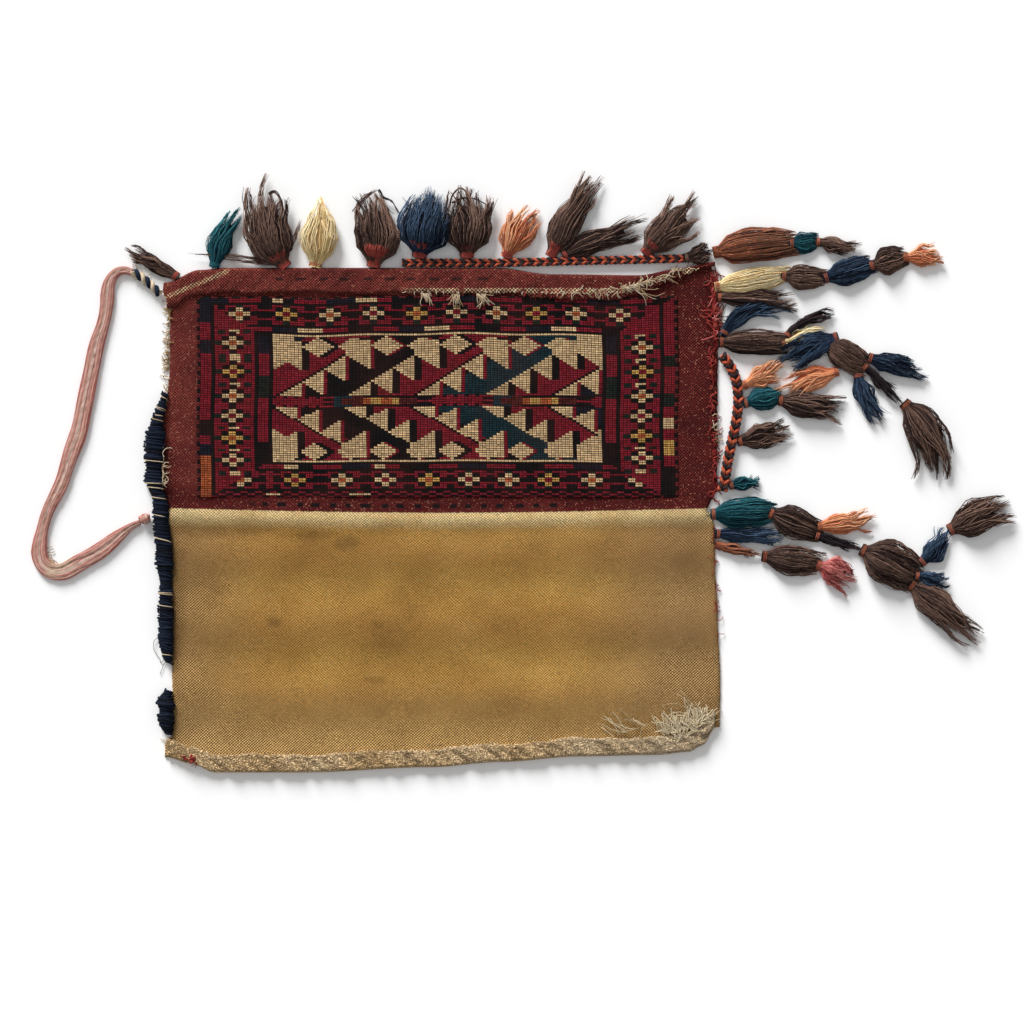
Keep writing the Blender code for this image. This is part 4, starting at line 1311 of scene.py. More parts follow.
def cloth_finish() -> bpy.types.Material:
    """Return the one cloth's finish: red weave above the crease and beige weave below it."""
    finish = Finish("red and beige plain weave", 0.93)
    x, y, _ = finish.place()
    above = crease_line(x, y) + finish.noise(420.0, 1.0) * 0.0016 - 0.0008
    finish.colour(finish.mix(above.between(-0.0004, 0.0004), beige_colour(finish, x, y),
                             red_colour(finish, x, y)))
    finish.relief(weave_relief(finish, x, y, WARP_PITCH, RED_WEFT_PITCH), WEAVE_RELIEF)
    return finish.material


def red_hem_finish() -> bpy.types.Material:
    """Return the upper hem's finish, its raw edge overcast with cream thread on the right."""
    finish = Finish("red hem weave", 0.93)
    x, y, _ = finish.place()
    edge = y - (x - HEM_RISE_FROM).between(0.0, HEM_RISE_RUN) * HEM_RISE - (FRONT_HEIGHT - 0.0222)
    dots = x.wave(0.0036) * y.wave(0.0034)
    row = (abs(edge) * -1.0 + 0.0030).between(0.0, 0.0008) * x.between(-0.04, -0.02)
    row = row * finish.noise(60.0, 2.0).between(0.36, 0.48)
    colour = finish.mix(row * dots.between(-0.05, 0.2), red_colour(finish, x, y), linear(232, 208, 166))
    along = (x - at(168, 0).x) * 0.42 + at(0, 297).y
    slope = (abs(y - along) * -1.0 + 0.0028).between(0.0, 0.001) * ((x * -1.0) - 0.198).between(0.0, 0.006)
    colour = finish.mix(slope * dots.between(-0.1, 0.35), colour, linear(216, 190, 146))
    finish.colour(colour)
    finish.relief(weave_relief(finish, x, y, WARP_PITCH, RED_WEFT_PITCH), WEAVE_RELIEF)
    return finish.material


def beige_hem_finish() -> bpy.types.Material:
    """Return the lower hem's finish: a paler, crumpled side of the same weave."""
    finish = Finish("beige hem weave", 0.94)
    x, _, _ = finish.place()
    colour = finish.ramp(finish.noise(18.0, 4.0), ((0.25, linear(192, 158, 110)), (0.5, linear(212, 182, 138)),
                                                   (0.75, linear(226, 202, 164))))
    grains = finish.noise(620.0, 2.0, (1.0, 1.3, 1.0)).between(0.34, 0.66)
    # Painted shade and highlight: the colour is darkened in the grain hollows and lightened on the grain tops,
    # following the same grains as the relief.
    colour = finish.mix(grains, finish.mix(1.0, colour, (0.44, 0.38, 0.32), "MULTIPLY"),
                        finish.mix(1.0, colour, (1.46, 1.46, 1.46), "MULTIPLY"))
    worn = x.between(0.05, 0.26) * 0.4
    finish.colour(finish.mix(worn, colour, linear(192, 182, 162)))
    finish.relief(grains, WEAVE_RELIEF)
    return finish.material


@dataclass
class Cloth:
    """The one long cloth: red front above the crease, beige back below it.

    Attributes:
        columns: how many cells it is cut into across.
        rows: how many down.
        red: height of the red weave.
        beige: height of the beige weave.
        crease: height of the rise beside the crease.
    """

    columns: int = 190
    rows: int = 160
    red: float = 0.0030
    beige: float = 0.0027
    crease: float = 0.0064
    edge: float = 0.0016
    margin: float = 0.003

    def height(self, x: np.ndarray, y: np.ndarray) -> np.ndarray:
        """Return the height of the upper side."""
        below = y - OUTLINE.crease_y(x) + 0.0050
        crest = np.exp(-(below / np.where(below > 0, 0.0040, 0.0105)) ** 2) * (self.crease - self.beige)
        crest = crest * (0.86 + 0.14 * np.sin(x * 47) * np.sin(x * 19 + 1))
        height = np.where(y > 0, self.red, self.beige) + crest
        height += 0.00045 * np.sin(x * 33 + y * 18) + 0.0003 * np.sin(x * 88 - y * 61)
        height += 0.0003 * np.sin(x * 151 + np.sin(y * 40) * 2) * np.sin(y * 97)
        pile = (x > Pile.left) & (x < Pile.right) & (y > Pile.bottom) & (y < Pile.top)
        height = np.where(pile, self.red - 0.0007, height)
        inset = np.minimum.reduce([x - OUTLINE.left_x(y), OUTLINE.right_x(y) - x, OUTLINE.top_y(x) - y,
                                   y - OUTLINE.bottom_y(x)])
        share = np.clip(inset / self.margin, 0, 1)
        return self.edge + (height - self.edge) * np.sqrt(share * (2 - share))

    def build(self) -> bpy.types.Object:
        """Weave the whole cloth as one closed sheet."""
        u = np.linspace(0, 1, self.columns + 1)
        v = np.linspace(0, 1, self.rows + 1)
        y = FRONT_HEIGHT + (-BACK_HEIGHT - FRONT_HEIGHT) * v[:, None] + 0 * u[None, :]
        for _ in range(3):
            x = OUTLINE.left_x(y) + (OUTLINE.right_x(y) - OUTLINE.left_x(y)) * u[None, :]
            y = OUTLINE.top_y(x) + (OUTLINE.bottom_y(x) - OUTLINE.top_y(x)) * v[:, None]
        rng = np.random.default_rng(5)
        x = x + rng.normal(0, 0.00025, x.shape) * (np.abs(u - 0.5) > 0.499)[None, :]
        grid = np.stack([x, y, self.height(x, y)], axis=-1)
        item = slab("opened_cloth", grid, 0.0, np.zeros((self.rows, self.columns), int), cloth_finish())
        return dress(item, "red and beige cloth", "bag_cloth")


@dataclass
class Hem:
    """A hem: the cloth's end turned over to the face, its raw edge showing.

    Attributes:
        name: the piece's name.
        fold: gives Y of the folded edge from X.
        inward: -1 where the hem runs down from its fold, 1 where it runs up.
        depth: from the fold to the raw edge.
        rise: height of its upper side.
        material: what it is woven in.
        crumple: how far its upper side is puckered.
    """

    name: str
    fold: Callable[[np.ndarray], np.ndarray]
    inward: int
    depth: float
    rise: float
    material: bpy.types.Material
    crumple: float = 0.0006
    waves: tuple[Point, ...] = ((0.05, 0.0008), (0.019, 0.0005))

    def raw_edge(self, x: np.ndarray) -> np.ndarray:
        """Return how deep the hem is at X."""
        depth = self.depth + sum(size * np.sin(math.pi * x / pitch) for pitch, size in self.waves)
        if self.inward < 0:
            depth = depth - HEM_RISE * np.clip((x - HEM_RISE_FROM) / HEM_RISE_RUN, 0, 1)
        return depth

    def build(self) -> bpy.types.Object:
        """Make the turned-over strip."""
        columns, rows = 260, 14
        inset = 0.0012
        x = np.linspace(MOUTH + inset, TASSEL_EDGE - inset, columns + 1)
        v = np.linspace(0, 1, rows + 1)[:, None]
        rng = np.random.default_rng(len(self.name))
        ragged = rng.normal(0, 0.0005, columns + 1)
        depth = self.raw_edge(x) + ragged
        y = self.fold(x) + self.inward * (0.0003 + v * depth)
        puckers = self.crumple * (np.sin(x * 190 + v * 4) * np.sin(x * 53) + 0.5 * np.sin(x * 410 + v * 9))
        puckers = puckers + self.crumple * rng.normal(0, 0.35, (rows + 1, columns + 1))
        roll = np.sqrt(np.clip(1 - (1 - np.clip(v / 0.14, 0, 1)) ** 2, 0, 1))
        fall = np.clip((1 - v) / 0.08, 0, 1)
        z = 0.0022 + (self.rise - 0.0022) * roll * (0.7 + 0.3 * fall) + puckers * roll
        grid = np.stack([x[None, :] + 0 * v, y, z], axis=-1)
        if self.inward > 0:
            grid = grid[::-1]
        item = slab(self.name, grid, 0.0004, np.zeros((rows, columns), int), self.material)
        return dress(item, "red and beige cloth")


@dataclass
class MouthBinding:
    """Navy wool overcast thickly along the mouth edge.

    Attributes:
        name: the CAD node that it replaces.
        stations: places above the crease and shares of the full width.
    """

    name: str
    stations: tuple[Point, ...]
    full_width: float = 0.013
    full_height: float = 0.0095
    lap: float = 0.18
    stitch: float = 0.0014

    def build(self) -> bpy.types.Object:
        """Make the lumpy roll and its overcast stitches."""
        rng = np.random.default_rng(len(self.name) * 7)
        low, high = self.stations[-1][0], self.stations[0][0]
        ordered = np.array(self.stations[::-1])
        y = np.arange(low, high, self.stitch)
        share = np.interp(y, ordered[:, 0], ordered[:, 1])
        width = self.full_width * share
        height = self.full_height * np.minimum(1, 0.55 + 0.45 * share)
        edge = OUTLINE.left_x(y)
        middle = edge - 0.0003 - width / 2 * (1 - self.lap)
        knitter = Knitter()
        core = np.stack([middle, y, height * 0.48], axis=1)
        knitter.tube(core, width * 0.44, 8, tint(len(y), 0.1, 0.9), squeeze=(height / width)[:, None])
        angles = np.linspace(-0.12, 1.12, 9) * math.pi
        bumps = np.convolve(rng.normal(0, 0.28, len(y) + 4), np.ones(5) / 5, mode="valid")
        for index in range(len(y)):
            lump = rng.uniform(0.9, 1.06) + bumps[index]
            slant = rng.normal(0.0014, 0.0011) * np.linspace(-1, 1, len(angles))
            path = np.stack([middle[index] + np.cos(angles) * width[index] * 0.47 * lump, y[index] + slant,
                             height[index] * 0.5 * (1 + np.sin(angles) * 0.93 * lump)], axis=1)
            path[:, 2] = np.maximum(path[:, 2], 0.0009)
            pale = rng.random() < (0.10 if y[index] > -0.01 else 0.035)
            path[:, 2] += 0.0007 if pale else 0.0
            knitter.tube(path, np.full(len(angles), (0.0005 if pale else 0.00085) * rng.uniform(0.7, 1.35)), 5,
                         tint(len(angles), 0.3, rng.random()), mark=int(pale))
        item = knitter.finish(self.name + "_stitches", yarn_finish(Yarn.BINDING), yarn_finish(Yarn.CREAM))
        return dress(item, "navy wool", self.name)


def strap_finish() -> bpy.types.Material:
    """Return the strap's striped cotton: dusty pink, salmon and cream lines along it."""
    finish = Finish("striped strap cotton", 0.95)
    packed, _ = finish.attribute("dye")
    apart = finish.node("SeparateColor", inputs={"Color": packed})
    across = Socket(finish.tree, apart.outputs[0]) + finish.noise(38.0, 2.0) * 0.30 - 0.15
    pale, salmon, red = linear(218, 180, 166), linear(190, 116, 104), linear(166, 74, 70)
    stripes = finish.ramp(across, ((0.0, red), (0.07, salmon), (0.16, pale), (0.30, salmon), (0.36, pale),
                                   (0.52, linear(226, 202, 186)), (0.60, red), (0.65, pale), (0.82, salmon),
                                   (0.88, pale), (0.94, red), (1.0, salmon)))
    worn = finish.noise(130.0, 3.0).between(0.35, 0.75) * 0.55
    colour = finish.mix(worn, stripes, linear(178, 132, 116))
    fibres = finish.noise(2100.0, 2.0).between(0.3, 0.7)
    colour = finish.mix(fibres * 0.30, colour, linear(108, 62, 56))
    colour = finish.mix(finish.noise(24.0, 2.0).between(0.56, 0.74) * 0.55, colour, linear(206, 190, 160))
    finish.colour(colour)
    finish.relief(finish.noise(1500.0, 2.0), 0.0009)
    return finish.material


@dataclass
class Strap:
    """A folded strip of cloth that hangs the bag, lying in a loose loop.

    Attributes:
        route: its middle line in metres.
        pinches: how wide it lies at shares of its length.
        width: across the strip.
        thickness: through its folds.
    """

    route: tuple[Point, ...]
    pinches: np.ndarray
    width: float = 0.016
    thickness: float = 0.0042

    def build(self, material: bpy.types.Material) -> tuple[bpy.types.Object, np.ndarray]:
        """Make the strip and return it with its middle line."""
        path = evenly(smooth_route(self.route, 12, self.thickness / 2), 0.0016)
        count, sides = len(path), 44
        along = np.linspace(0, 1, count)
        angle = TAU * np.arange(sides) / sides
        side = np.sign(np.cos(angle)) * np.abs(np.cos(angle)) ** 0.9
        lift = np.sign(np.sin(angle)) * np.abs(np.sin(angle)) ** 0.45
        left = beside(path)
        runs = along * length_of(path)
        narrow = np.interp(runs, self.pinches[:, 0] * runs[-1], self.pinches[:, 1])
        narrow = narrow * (1 - 0.07 * np.sin(runs * 95) * np.sin(runs * 31 + 2))
        drift = 0.0010 * np.sin(runs * 41) + 0.0006 * np.sin(runs * 113 + 1)
        lane = side[None, :] + 0.22 * np.sin(runs * 34)[:, None] + 0.12 * np.sin(runs * 89)[:, None]
        folds = 0.30 * np.abs(np.sin(lane * 3.1)) - 0.42 * np.exp(-((lane - 0.18) / 0.09) ** 2)
        folds = folds - 0.36 * np.exp(-((lane + 0.48) / 0.08) ** 2) + 0.13 * np.sin(lane * 21)
        rib = 0.10 * np.sin(runs * 610)[:, None] * np.sin(lane * 5 + 1)
        half = self.width / 2 * narrow[:, None] * side[None, :] + drift[:, None]
        rise = self.thickness / 2 * (1 + lift[None, :] * np.where(lift > 0, 0.85 + folds + rib, 0.96))
        points = path[:, None, :] + left[:, None, :] * half[:, :, None]
        points[:, :, 2] = np.maximum(rise, 0.00005)
        knitter = Knitter()
        start = np.arange(count - 1)[:, None] * sides
        step = np.arange(sides)[None, :]
        beyond = (step + 1) % sides
        faces = np.stack([start + step, start + beyond, start + sides + beyond, start + sides + step],
                         axis=-1).reshape(-1, 4)
        caps = [[first, first + k, first + k + 1, first + (k + 2) % sides]
                for first in (0, (count - 1) * sides) for k in range(1, sides - 1, 2)]
        dye = np.zeros((count, sides, 4))
        dye[:, :, 0] = (side[None, :] + 1) / 2
        dye[:, :, 1] = along[:, None]
        dye[:, :, 3] = 1
        knitter.add(points.reshape(-1, 3), np.vstack([faces, np.array(caps)]), dye.reshape(-1, 4))
        return dress(knitter.finish("cotton_strap", material), "strap cotton", "strap"), path


@dataclass
class TwistedCord:
    """The two-ply navy and cream cord that ties the strap to the corner."""

    route: tuple[Point, ...]
    width: float = 0.0085
    twist: float = 0.012

    def build(self) -> tuple[bpy.types.Object, np.ndarray]:
        """Twist the two plies and return them with their middle line."""
        path = evenly(smooth_route(self.route, 12, self.width / 2), 0.0006)
        runs = np.linspace(0, length_of(path), len(path))
        knitter = Knitter()
        for ply in range(2):
            turn = TAU * (runs / self.twist + ply / 2)
            places = path + beside(path) * (self.width * 0.25 * np.cos(turn))[:, None]
            places[:, 2] += self.width * 0.24 * np.sin(turn)
            knitter.tube(places, np.full(len(path), self.width * 0.24), 8, tint(len(path), 0.4, 0.2), mark=ply)
        item = knitter.finish("twisted_strap_cord", yarn_finish(Yarn.BINDING), yarn_finish(Yarn.CREAM))
        return dress(item, "dark wool", "strap_cord"), path


@dataclass
class StrapKnot:
    """The knot at the strap's lower end, wound in the strap's own cloth."""

    start: Vector
    end: Vector
    radius: float = 0.0034
    turns: int = 3

    def build(self, material: bpy.types.Material) -> bpy.types.Object:
        """Wind the knot's turns round its line."""
        knitter = Knitter()
        steps = np.linspace(0, 1, 46)
        start, end = np.array(self.start), np.array(self.end)
        line = start[None, :] + (end - start)[None, :] * steps[:, None]
        left = beside(line)
        turn = TAU * self.turns * steps
        swell = self.radius * (0.75 + 0.35 * np.sin(math.pi * steps))
        path = line + left * (swell * np.cos(turn))[:, None]
        path[:, 2] = np.maximum(0.0044 + swell * np.sin(turn) * 0.8, 0.0018)
        dye = tint(len(path), 0.5 + 0.4 * np.sin(turn * 0.7), 0.5)
        knitter.tube(path, np.full(len(path), 0.0017), 8, dye)
        core = line.copy()
        core[:, 2] = 0.0042
        knitter.tube(core, np.full(len(core), self.radius * 0.9), 8, tint(len(core), 0.6, 0.5))
        for lane in (-0.5, 0.1, 0.6):
            neck = line[:12] - (line[12] - line[0]) * 1.2 + left[:12] * self.radius * lane
            neck[:, 2] = 0.0030 + 0.0008 * lane
            knitter.tube(neck, np.full(12, 0.0016), 7, tint(12, 0.5 + lane / 2, 0.5))
        return dress(knitter.finish("strap_end_knot", material), "strap cotton", "strap_knot")


@dataclass(frozen=True)
class Fray:
    """A run of loose thread ends: where they start, where they point and how long they are.

    Attributes:
        yarn: what they are.
        start: one end of the run, in photograph pixels.
        end: its other end.
        count: how many threads.
        heading: the way they point, in degrees from +X.
        spread: how much that varies.
        length: their usual length in metres.
        curl: how much they bend, in degrees.
        height: how high they lie.
        radius: of each thread.
    """

    yarn: Yarn
    start: Point
    end: Point
    count: int
    heading: float
    spread: float
    length: float
    curl: float = 60.0
    height: float = 0.006
    radius: float = 0.0003


@dataclass
class LooseThreads:
    """All the frayed ends and loose loops of the hems and edges, sorted by yarn."""

    runs: Sequence[Fray]

    def thread(self, rng: np.random.Generator, fray: Fray) -> tuple[np.ndarray, np.ndarray]:
        """Shape one loose thread."""
        share = rng.random()
        start = at(fray.start[0] + (fray.end[0] - fray.start[0]) * share,
                   fray.start[1] + (fray.end[1] - fray.start[1]) * share)
        length = fray.length * rng.uniform(0.5, 1.4)
        steps = max(6, int(length / 0.0016))
        bend = np.radians(rng.normal(0, fray.curl)) / steps
        wander = np.cumsum(rng.normal(0, 0.16, steps))
        heading = math.radians(rng.normal(fray.heading, fray.spread)) + bend * np.arange(steps) + wander
        step = length / steps
        x = start.x + np.concatenate([[0], np.cumsum(np.cos(heading) * step)])
        y = start.y + np.concatenate([[0], np.cumsum(np.sin(heading) * step)])
        share = np.linspace(0, 1, steps + 1)
        inside = ((x > OUTLINE.left_x(y)) & (x < OUTLINE.right_x(y)) & (y < OUTLINE.top_y(x))
                  & (y > OUTLINE.bottom_y(x)))
        rest = np.where(inside, fray.height - 0.0006, 0.0006)
        z = rest + 0.0012 * np.sin(math.pi * share) * rng.uniform(0.3, 1.5)
        kernel = np.ones(3) / 3
        z[1:-1] = np.convolve(z, kernel, mode="same")[1:-1]
        return np.stack([x, y, np.maximum(z, fray.radius)], axis=1), np.full(steps + 1, fray.radius)

    def build(self) -> list[bpy.types.Object]:
        """Make one piece of loose threads for each yarn."""
        made = []
        for yarn in dict.fromkeys(run.yarn for run in self.runs):
            rng = np.random.default_rng(40 + len(yarn.value.name))
            knitter = Knitter()
            for run in (run for run in self.runs if run.yarn is yarn):
                for _ in range(run.count):
                    places, radii = self.thread(rng, run)
                    knitter.tube(places, radii, 4, tint(len(places), 0.5, rng.random()))
            name = "loose_" + yarn.value.name.replace(" ", "_")
            made.append(dress(knitter.finish(name, yarn_finish(yarn)), yarn.value.slot))
        return made


TUFTS = (
    Tuft("corner_tuft", Yarn.BROWN, (-0.2492, 0.2189), 155, 0.058, 0.014, 14, wild=0.6, tie=Yarn.RED_TIE),
    Tuft("teal_top_tassel", Yarn.TEAL, (-0.2150, 0.2281), 68, 0.058, 0.0225, -28, wild=0.5, tie=Yarn.TEAL,
         tip=0.22),
    Tuft("brown_top_tassel", Yarn.BROWN, (-0.1467, 0.2283), 101, 0.080, 0.041, -56,
         wild=1.0, tie=Yarn.RED_TIE, sheath=0.013, tip=0.34),
    Tuft("yellow_top_tassel", Yarn.YELLOW, (-0.1195, 0.2283), 86, 0.066, 0.034, 16,
         wild=0.25, gather=0.3, tie=Yarn.TIE, tip=0.05),
    Tuft("swept_top_tassel", Yarn.BROWN, (-0.0642, 0.2283), 84, 0.070, 0.042, 12,
         wild=0.9, tie=Yarn.RED_TIE, sheath=0.018, tip=0.18, lean=0.013),
    Tuft("navy_top_tassel", Yarn.NAVY, (-0.0209, 0.2371), 79, 0.062, 0.048,
         wild=0.6, gather=0.6, tie=Yarn.RED_TIE, sheath=0.012, tip=0.44),
    Tuft("looped_top_tassel", Yarn.BROWN, (0.0245, 0.2371), 87, 0.064, 0.042,
         wild=1.1, tie=Yarn.RED_TIE, sheath=0.010, tip=0.42),
    Tuft("orange_top_tassel", Yarn.ORANGE, (0.0616, 0.2374), 62, 0.05, 0.028, -10,
         tie=Yarn.RED_TIE, sheath=0.008),
    Tuft("long_top_tassel", Yarn.BROWN, (0.1039, 0.2384), 62, 0.088, 0.027, -8,
         tie=Yarn.RED_TIE, sheath=0.012),
    Tuft("long_tassel_side_lock", Yarn.BROWN, (0.1154, 0.2386), 22, 0.083, 0.022, -8, tie=Yarn.RED_TIE),
    Tuft("last_top_tassel", Yarn.BROWN, (0.1931, 0.2404), 44, 0.068, 0.032, -10,
         tie=Yarn.RED_TIE, sheath=0.012),
    Tuft("corner_knot", Yarn.BROWN, (0.2305, 0.2366), 12, 0.028, 0.018, tie=Yarn.BROWN),
    Tuft("amber_tuft", Yarn.AMBER, (0.2582, 0.2422), 8, 0.072, 0.031, -8, True),
    Tuft("short_teal_tuft", Yarn.TEAL, (0.3299, 0.2511), 3, 0.025, 0.019, 0, True),
    Tuft("first_end_tuft", Yarn.BROWN, (0.3552, 0.2525), -10, 0.039, 0.014),
    Tuft("yellow_tuft", Yarn.YELLOW, (0.2598, 0.2095), 10, 0.063, 0.021, 0, True),
    Tuft("brown_second_tuft", Yarn.BROWN, (0.3222, 0.2202), -4, 0.04, 0.022, 0, True),
    Tuft("navy_third_tuft", Yarn.NAVY, (0.3624, 0.2178), 15, 0.045, 0.023, 0, True),
    Tuft("brown_fourth_tuft", Yarn.BROWN, (0.4062, 0.2290), 15, 0.033, 0.025, 0, True),
    Tuft("orange_fifth_tuft", Yarn.ORANGE, (0.4384, 0.2376), 3, 0.038, 0.018),
    Tuft("brown_edge_tuft", Yarn.BROWN, (0.2617, 0.2000), -3, 0.076, 0.0165),
    Tuft("navy_arched_tuft", Yarn.NAVY, (0.2675, 0.1640), 20, 0.078, 0.0175, -84, wild=0.6),
    Tuft("brown_bundle", Yarn.BROWN, (0.2633, 0.1575), -1, 0.064, 0.023, 0, True),
    Tuft("dark_looped_tuft", Yarn.DARK, (0.3279, 0.1620), 24, 0.054, 0.0095, -56),
    Tuft("yellow_link_tuft", Yarn.YELLOW, (0.3225, 0.1560), 18, 0.042, 0.0135),
    Tuft("navy_under_tuft", Yarn.NAVY, (0.3772, 0.1625), 204, 0.060, 0.0250, 14),
    Tuft("brown_falling_tuft", Yarn.BROWN, (0.3633, 0.1576), -32, 0.043, 0.026, 0, True),
    Tuft("navy_forked_tuft", Yarn.NAVY, (0.3958, 0.1284), -66, 0.050, 0.0185, 34),
    Tuft("dark_link", Yarn.DARK, (0.4004, 0.1357), -43, 0.052, 0.0085),
    Tuft("navy_pointing_tuft", Yarn.NAVY, (0.4050, 0.1430), -12, 0.054, 0.0205, 14),
    Tuft("long_end_tuft", Yarn.BROWN, (0.4388, 0.1002), -64, 0.08, 0.034, -40),
    Tuft("orange_braid_tuft", Yarn.ORANGE, (0.2860, 0.1155), 26, 0.043, 0.0165),
    Tuft("teal_braid_tuft", Yarn.TEAL, (0.2866, 0.0990), 14, 0.033, 0.020, 0, True),
    Tuft("orange_lower_tuft", Yarn.ORANGE, (0.3772, 0.1300), 199, 0.060, 0.0190, 8),
    Tuft("brown_lower_tuft", Yarn.BROWN, (0.3200, 0.1023), -10, 0.062, 0.026),
    Tuft("brown_braid_tuft", Yarn.BROWN, (0.2812, 0.0630), 12, 0.05, 0.022),
    Tuft("small_teal_tuft", Yarn.TEAL, (0.2732, 0.0210), 10, 0.028, 0.012),
    Tuft("teal_fan_tuft", Yarn.TEAL, (0.2557, -0.0060), 2, 0.055, 0.027, 0, True),
    Tuft("brown_fan_tuft", Yarn.BROWN, (0.3109, -0.0041), -22, 0.048, 0.028, 0, True),
    Tuft("orange_straight_tuft", Yarn.ORANGE, (0.3575, -0.0177), 7, 0.052, 0.0185),
    Tuft("dark_cross_link", Yarn.DARK, (0.3543, -0.0255), -17, 0.046, 0.0095),
    Tuft("navy_low_tuft", Yarn.NAVY, (0.2604, -0.0245), -3, 0.063, 0.0160),
    Tuft("twisted_low_link", Yarn.AMBER, (0.2605, -0.0345), -15, 0.045, 0.0085),
    Tuft("brown_low_tuft", Yarn.BROWN, (0.3043, -0.0458), -8, 0.052, 0.026, 0, True),
    Tuft("pink_low_tuft", Yarn.PINK, (0.3561, -0.0533), -22, 0.038, 0.024),
    Tuft("big_brown_tuft", Yarn.BROWN, (0.3985, -0.0392), -26, 0.056, 0.04, 0, True),
    Tuft("navy_rising_tuft", Yarn.NAVY, (0.4547, -0.0524), 48, 0.042, 0.02, 28),
    Tuft("small_navy_tuft", Yarn.NAVY, (0.4492, -0.0636), -14, 0.032, 0.0135),
    Tuft("last_brown_tuft", Yarn.BROWN, (0.4449, -0.0724), -38, 0.08, 0.029),
    Tuft("upper_end_tuft", Yarn.BROWN, (0.4815, -0.0215), 26, 0.061, 0.032),
)

WISPS = (
    Wisp(Yarn.BROWN, ((284, 262), (262, 259), (235, 256), (205, 255), (186, 254)), 9, 0.0012, 0.0045),
    Wisp(Yarn.BROWN, ((283, 264), (262, 263), (240, 261), (216, 258)), 9, 0.0014, 0.0035),
    Wisp(Yarn.DARK, ((252, 208), (252, 198), (250, 193), (247, 191)), 6, 0.0007, 0.0050),
    Wisp(Yarn.BROWN, ((270, 196), (276, 193), (281, 200), (283, 212), (279, 222)), 8, 0.0010, 0.0090),
    Wisp(Yarn.BROWN, ((288, 250), (294, 238), (299, 226), (301, 217)), 8, 0.0013, 0.0030),
    Wisp(Yarn.BROWN, ((356, 214), (363, 201), (372, 194), (379, 190), (380, 188)), 12, 0.0016, 0.0070),
    Wisp(Yarn.DARK, ((379, 190), (384, 198), (392, 202), (398, 212), (402, 222)), 5, 0.0006, 0.0040),
    Wisp(Yarn.DARK, ((383, 197), (387, 208), (396, 216)), 3, 0.0004, 0.0030),
    Wisp(Yarn.NAVY, ((413, 216), (408, 204), (401, 196)), 3, 0.0006, 0.0040),
    Wisp(Yarn.BROWN, ((448, 212), (452, 198), (460, 189), (467, 194), (470, 208)), 5, 0.0006, 0.0080),
    Wisp(Yarn.DARK, ((452, 204), (464, 199), (478, 201), (489, 208), (494, 211)), 4, 0.0006, 0.0085),
    Wisp(Yarn.BROWN, ((447, 206), (448, 196), (450, 188)), 6, 0.0006, 0.0050),
    Wisp(Yarn.BROWN, ((478, 240), (486, 228), (491, 214), (492, 200)), 8, 0.0011, 0.0040),
)

SIDE_BRAID_ROUTE = ((0.0052, 0.1445), (0.0115, 0.1375), (0.0175, 0.126), (0.0208, 0.11), (0.0205, 0.093),
                    (0.0178, 0.076), (0.0138, 0.058), (0.0105, 0.041), (0.0085, 0.028), (0.0058, 0.0165))
STRAP_ROUTE = ((-0.0325, 0.2245), (-0.040, 0.2265), (-0.048, 0.2235), (-0.0545, 0.213), (-0.0575, 0.192),
               (-0.0635, 0.16), (-0.071, 0.128), (-0.0765, 0.098), (-0.0875, 0.062), (-0.0985, 0.028),
               (-0.111, -0.004), (-0.119, -0.030), (-0.1195, -0.046), (-0.1115, -0.058), (-0.097, -0.061),
               (-0.081, -0.053), (-0.062, -0.040), (-0.046, -0.0275), (-0.034, -0.0175), (-0.0255, -0.0125))
STRAP_CORD_ROUTE = ((-0.0059, 0.2032), (-0.0115, 0.2092), (-0.0175, 0.2148), (-0.024, 0.2197),
                    (-0.0314, 0.2242))
STRAP_PINCHES = ((0.0, 0.42), (0.05, 0.62), (0.10, 0.84), (0.17, 0.74), (0.25, 0.95), (0.38, 1.0), (0.50, 0.90),
                 (0.60, 0.74), (0.66, 0.66), (0.71, 0.92), (0.80, 1.05), (0.88, 1.0), (0.94, 0.72), (0.975, 0.46),
                 (1.0, 0.34))
MOUTH_STATIONS = ((0.109, 0.4), (0.099, 0.56), (0.0874, 0.8), (0.0722, 1.25), (0.0589, 1.42), (0.0437, 1.38),
                  (0.0304, 1.35), (0.0219, 1.25), (0.0114, 1.05), (0.0, 1.2), (-0.0171, 1.05),
                  (-0.0323, 1.28), (-0.0542, 1.22), (-0.0703, 0.95), (-0.0874, 1.0), (-0.125, 1.0),
                  (-0.14, 0.8), (-0.146, 0.5))
LOWER_STATIONS = ((-0.173, 0.5), (-0.181, 1.1), (-0.194, 1.05), (-0.206, 1.0), (-0.214, 0.55))

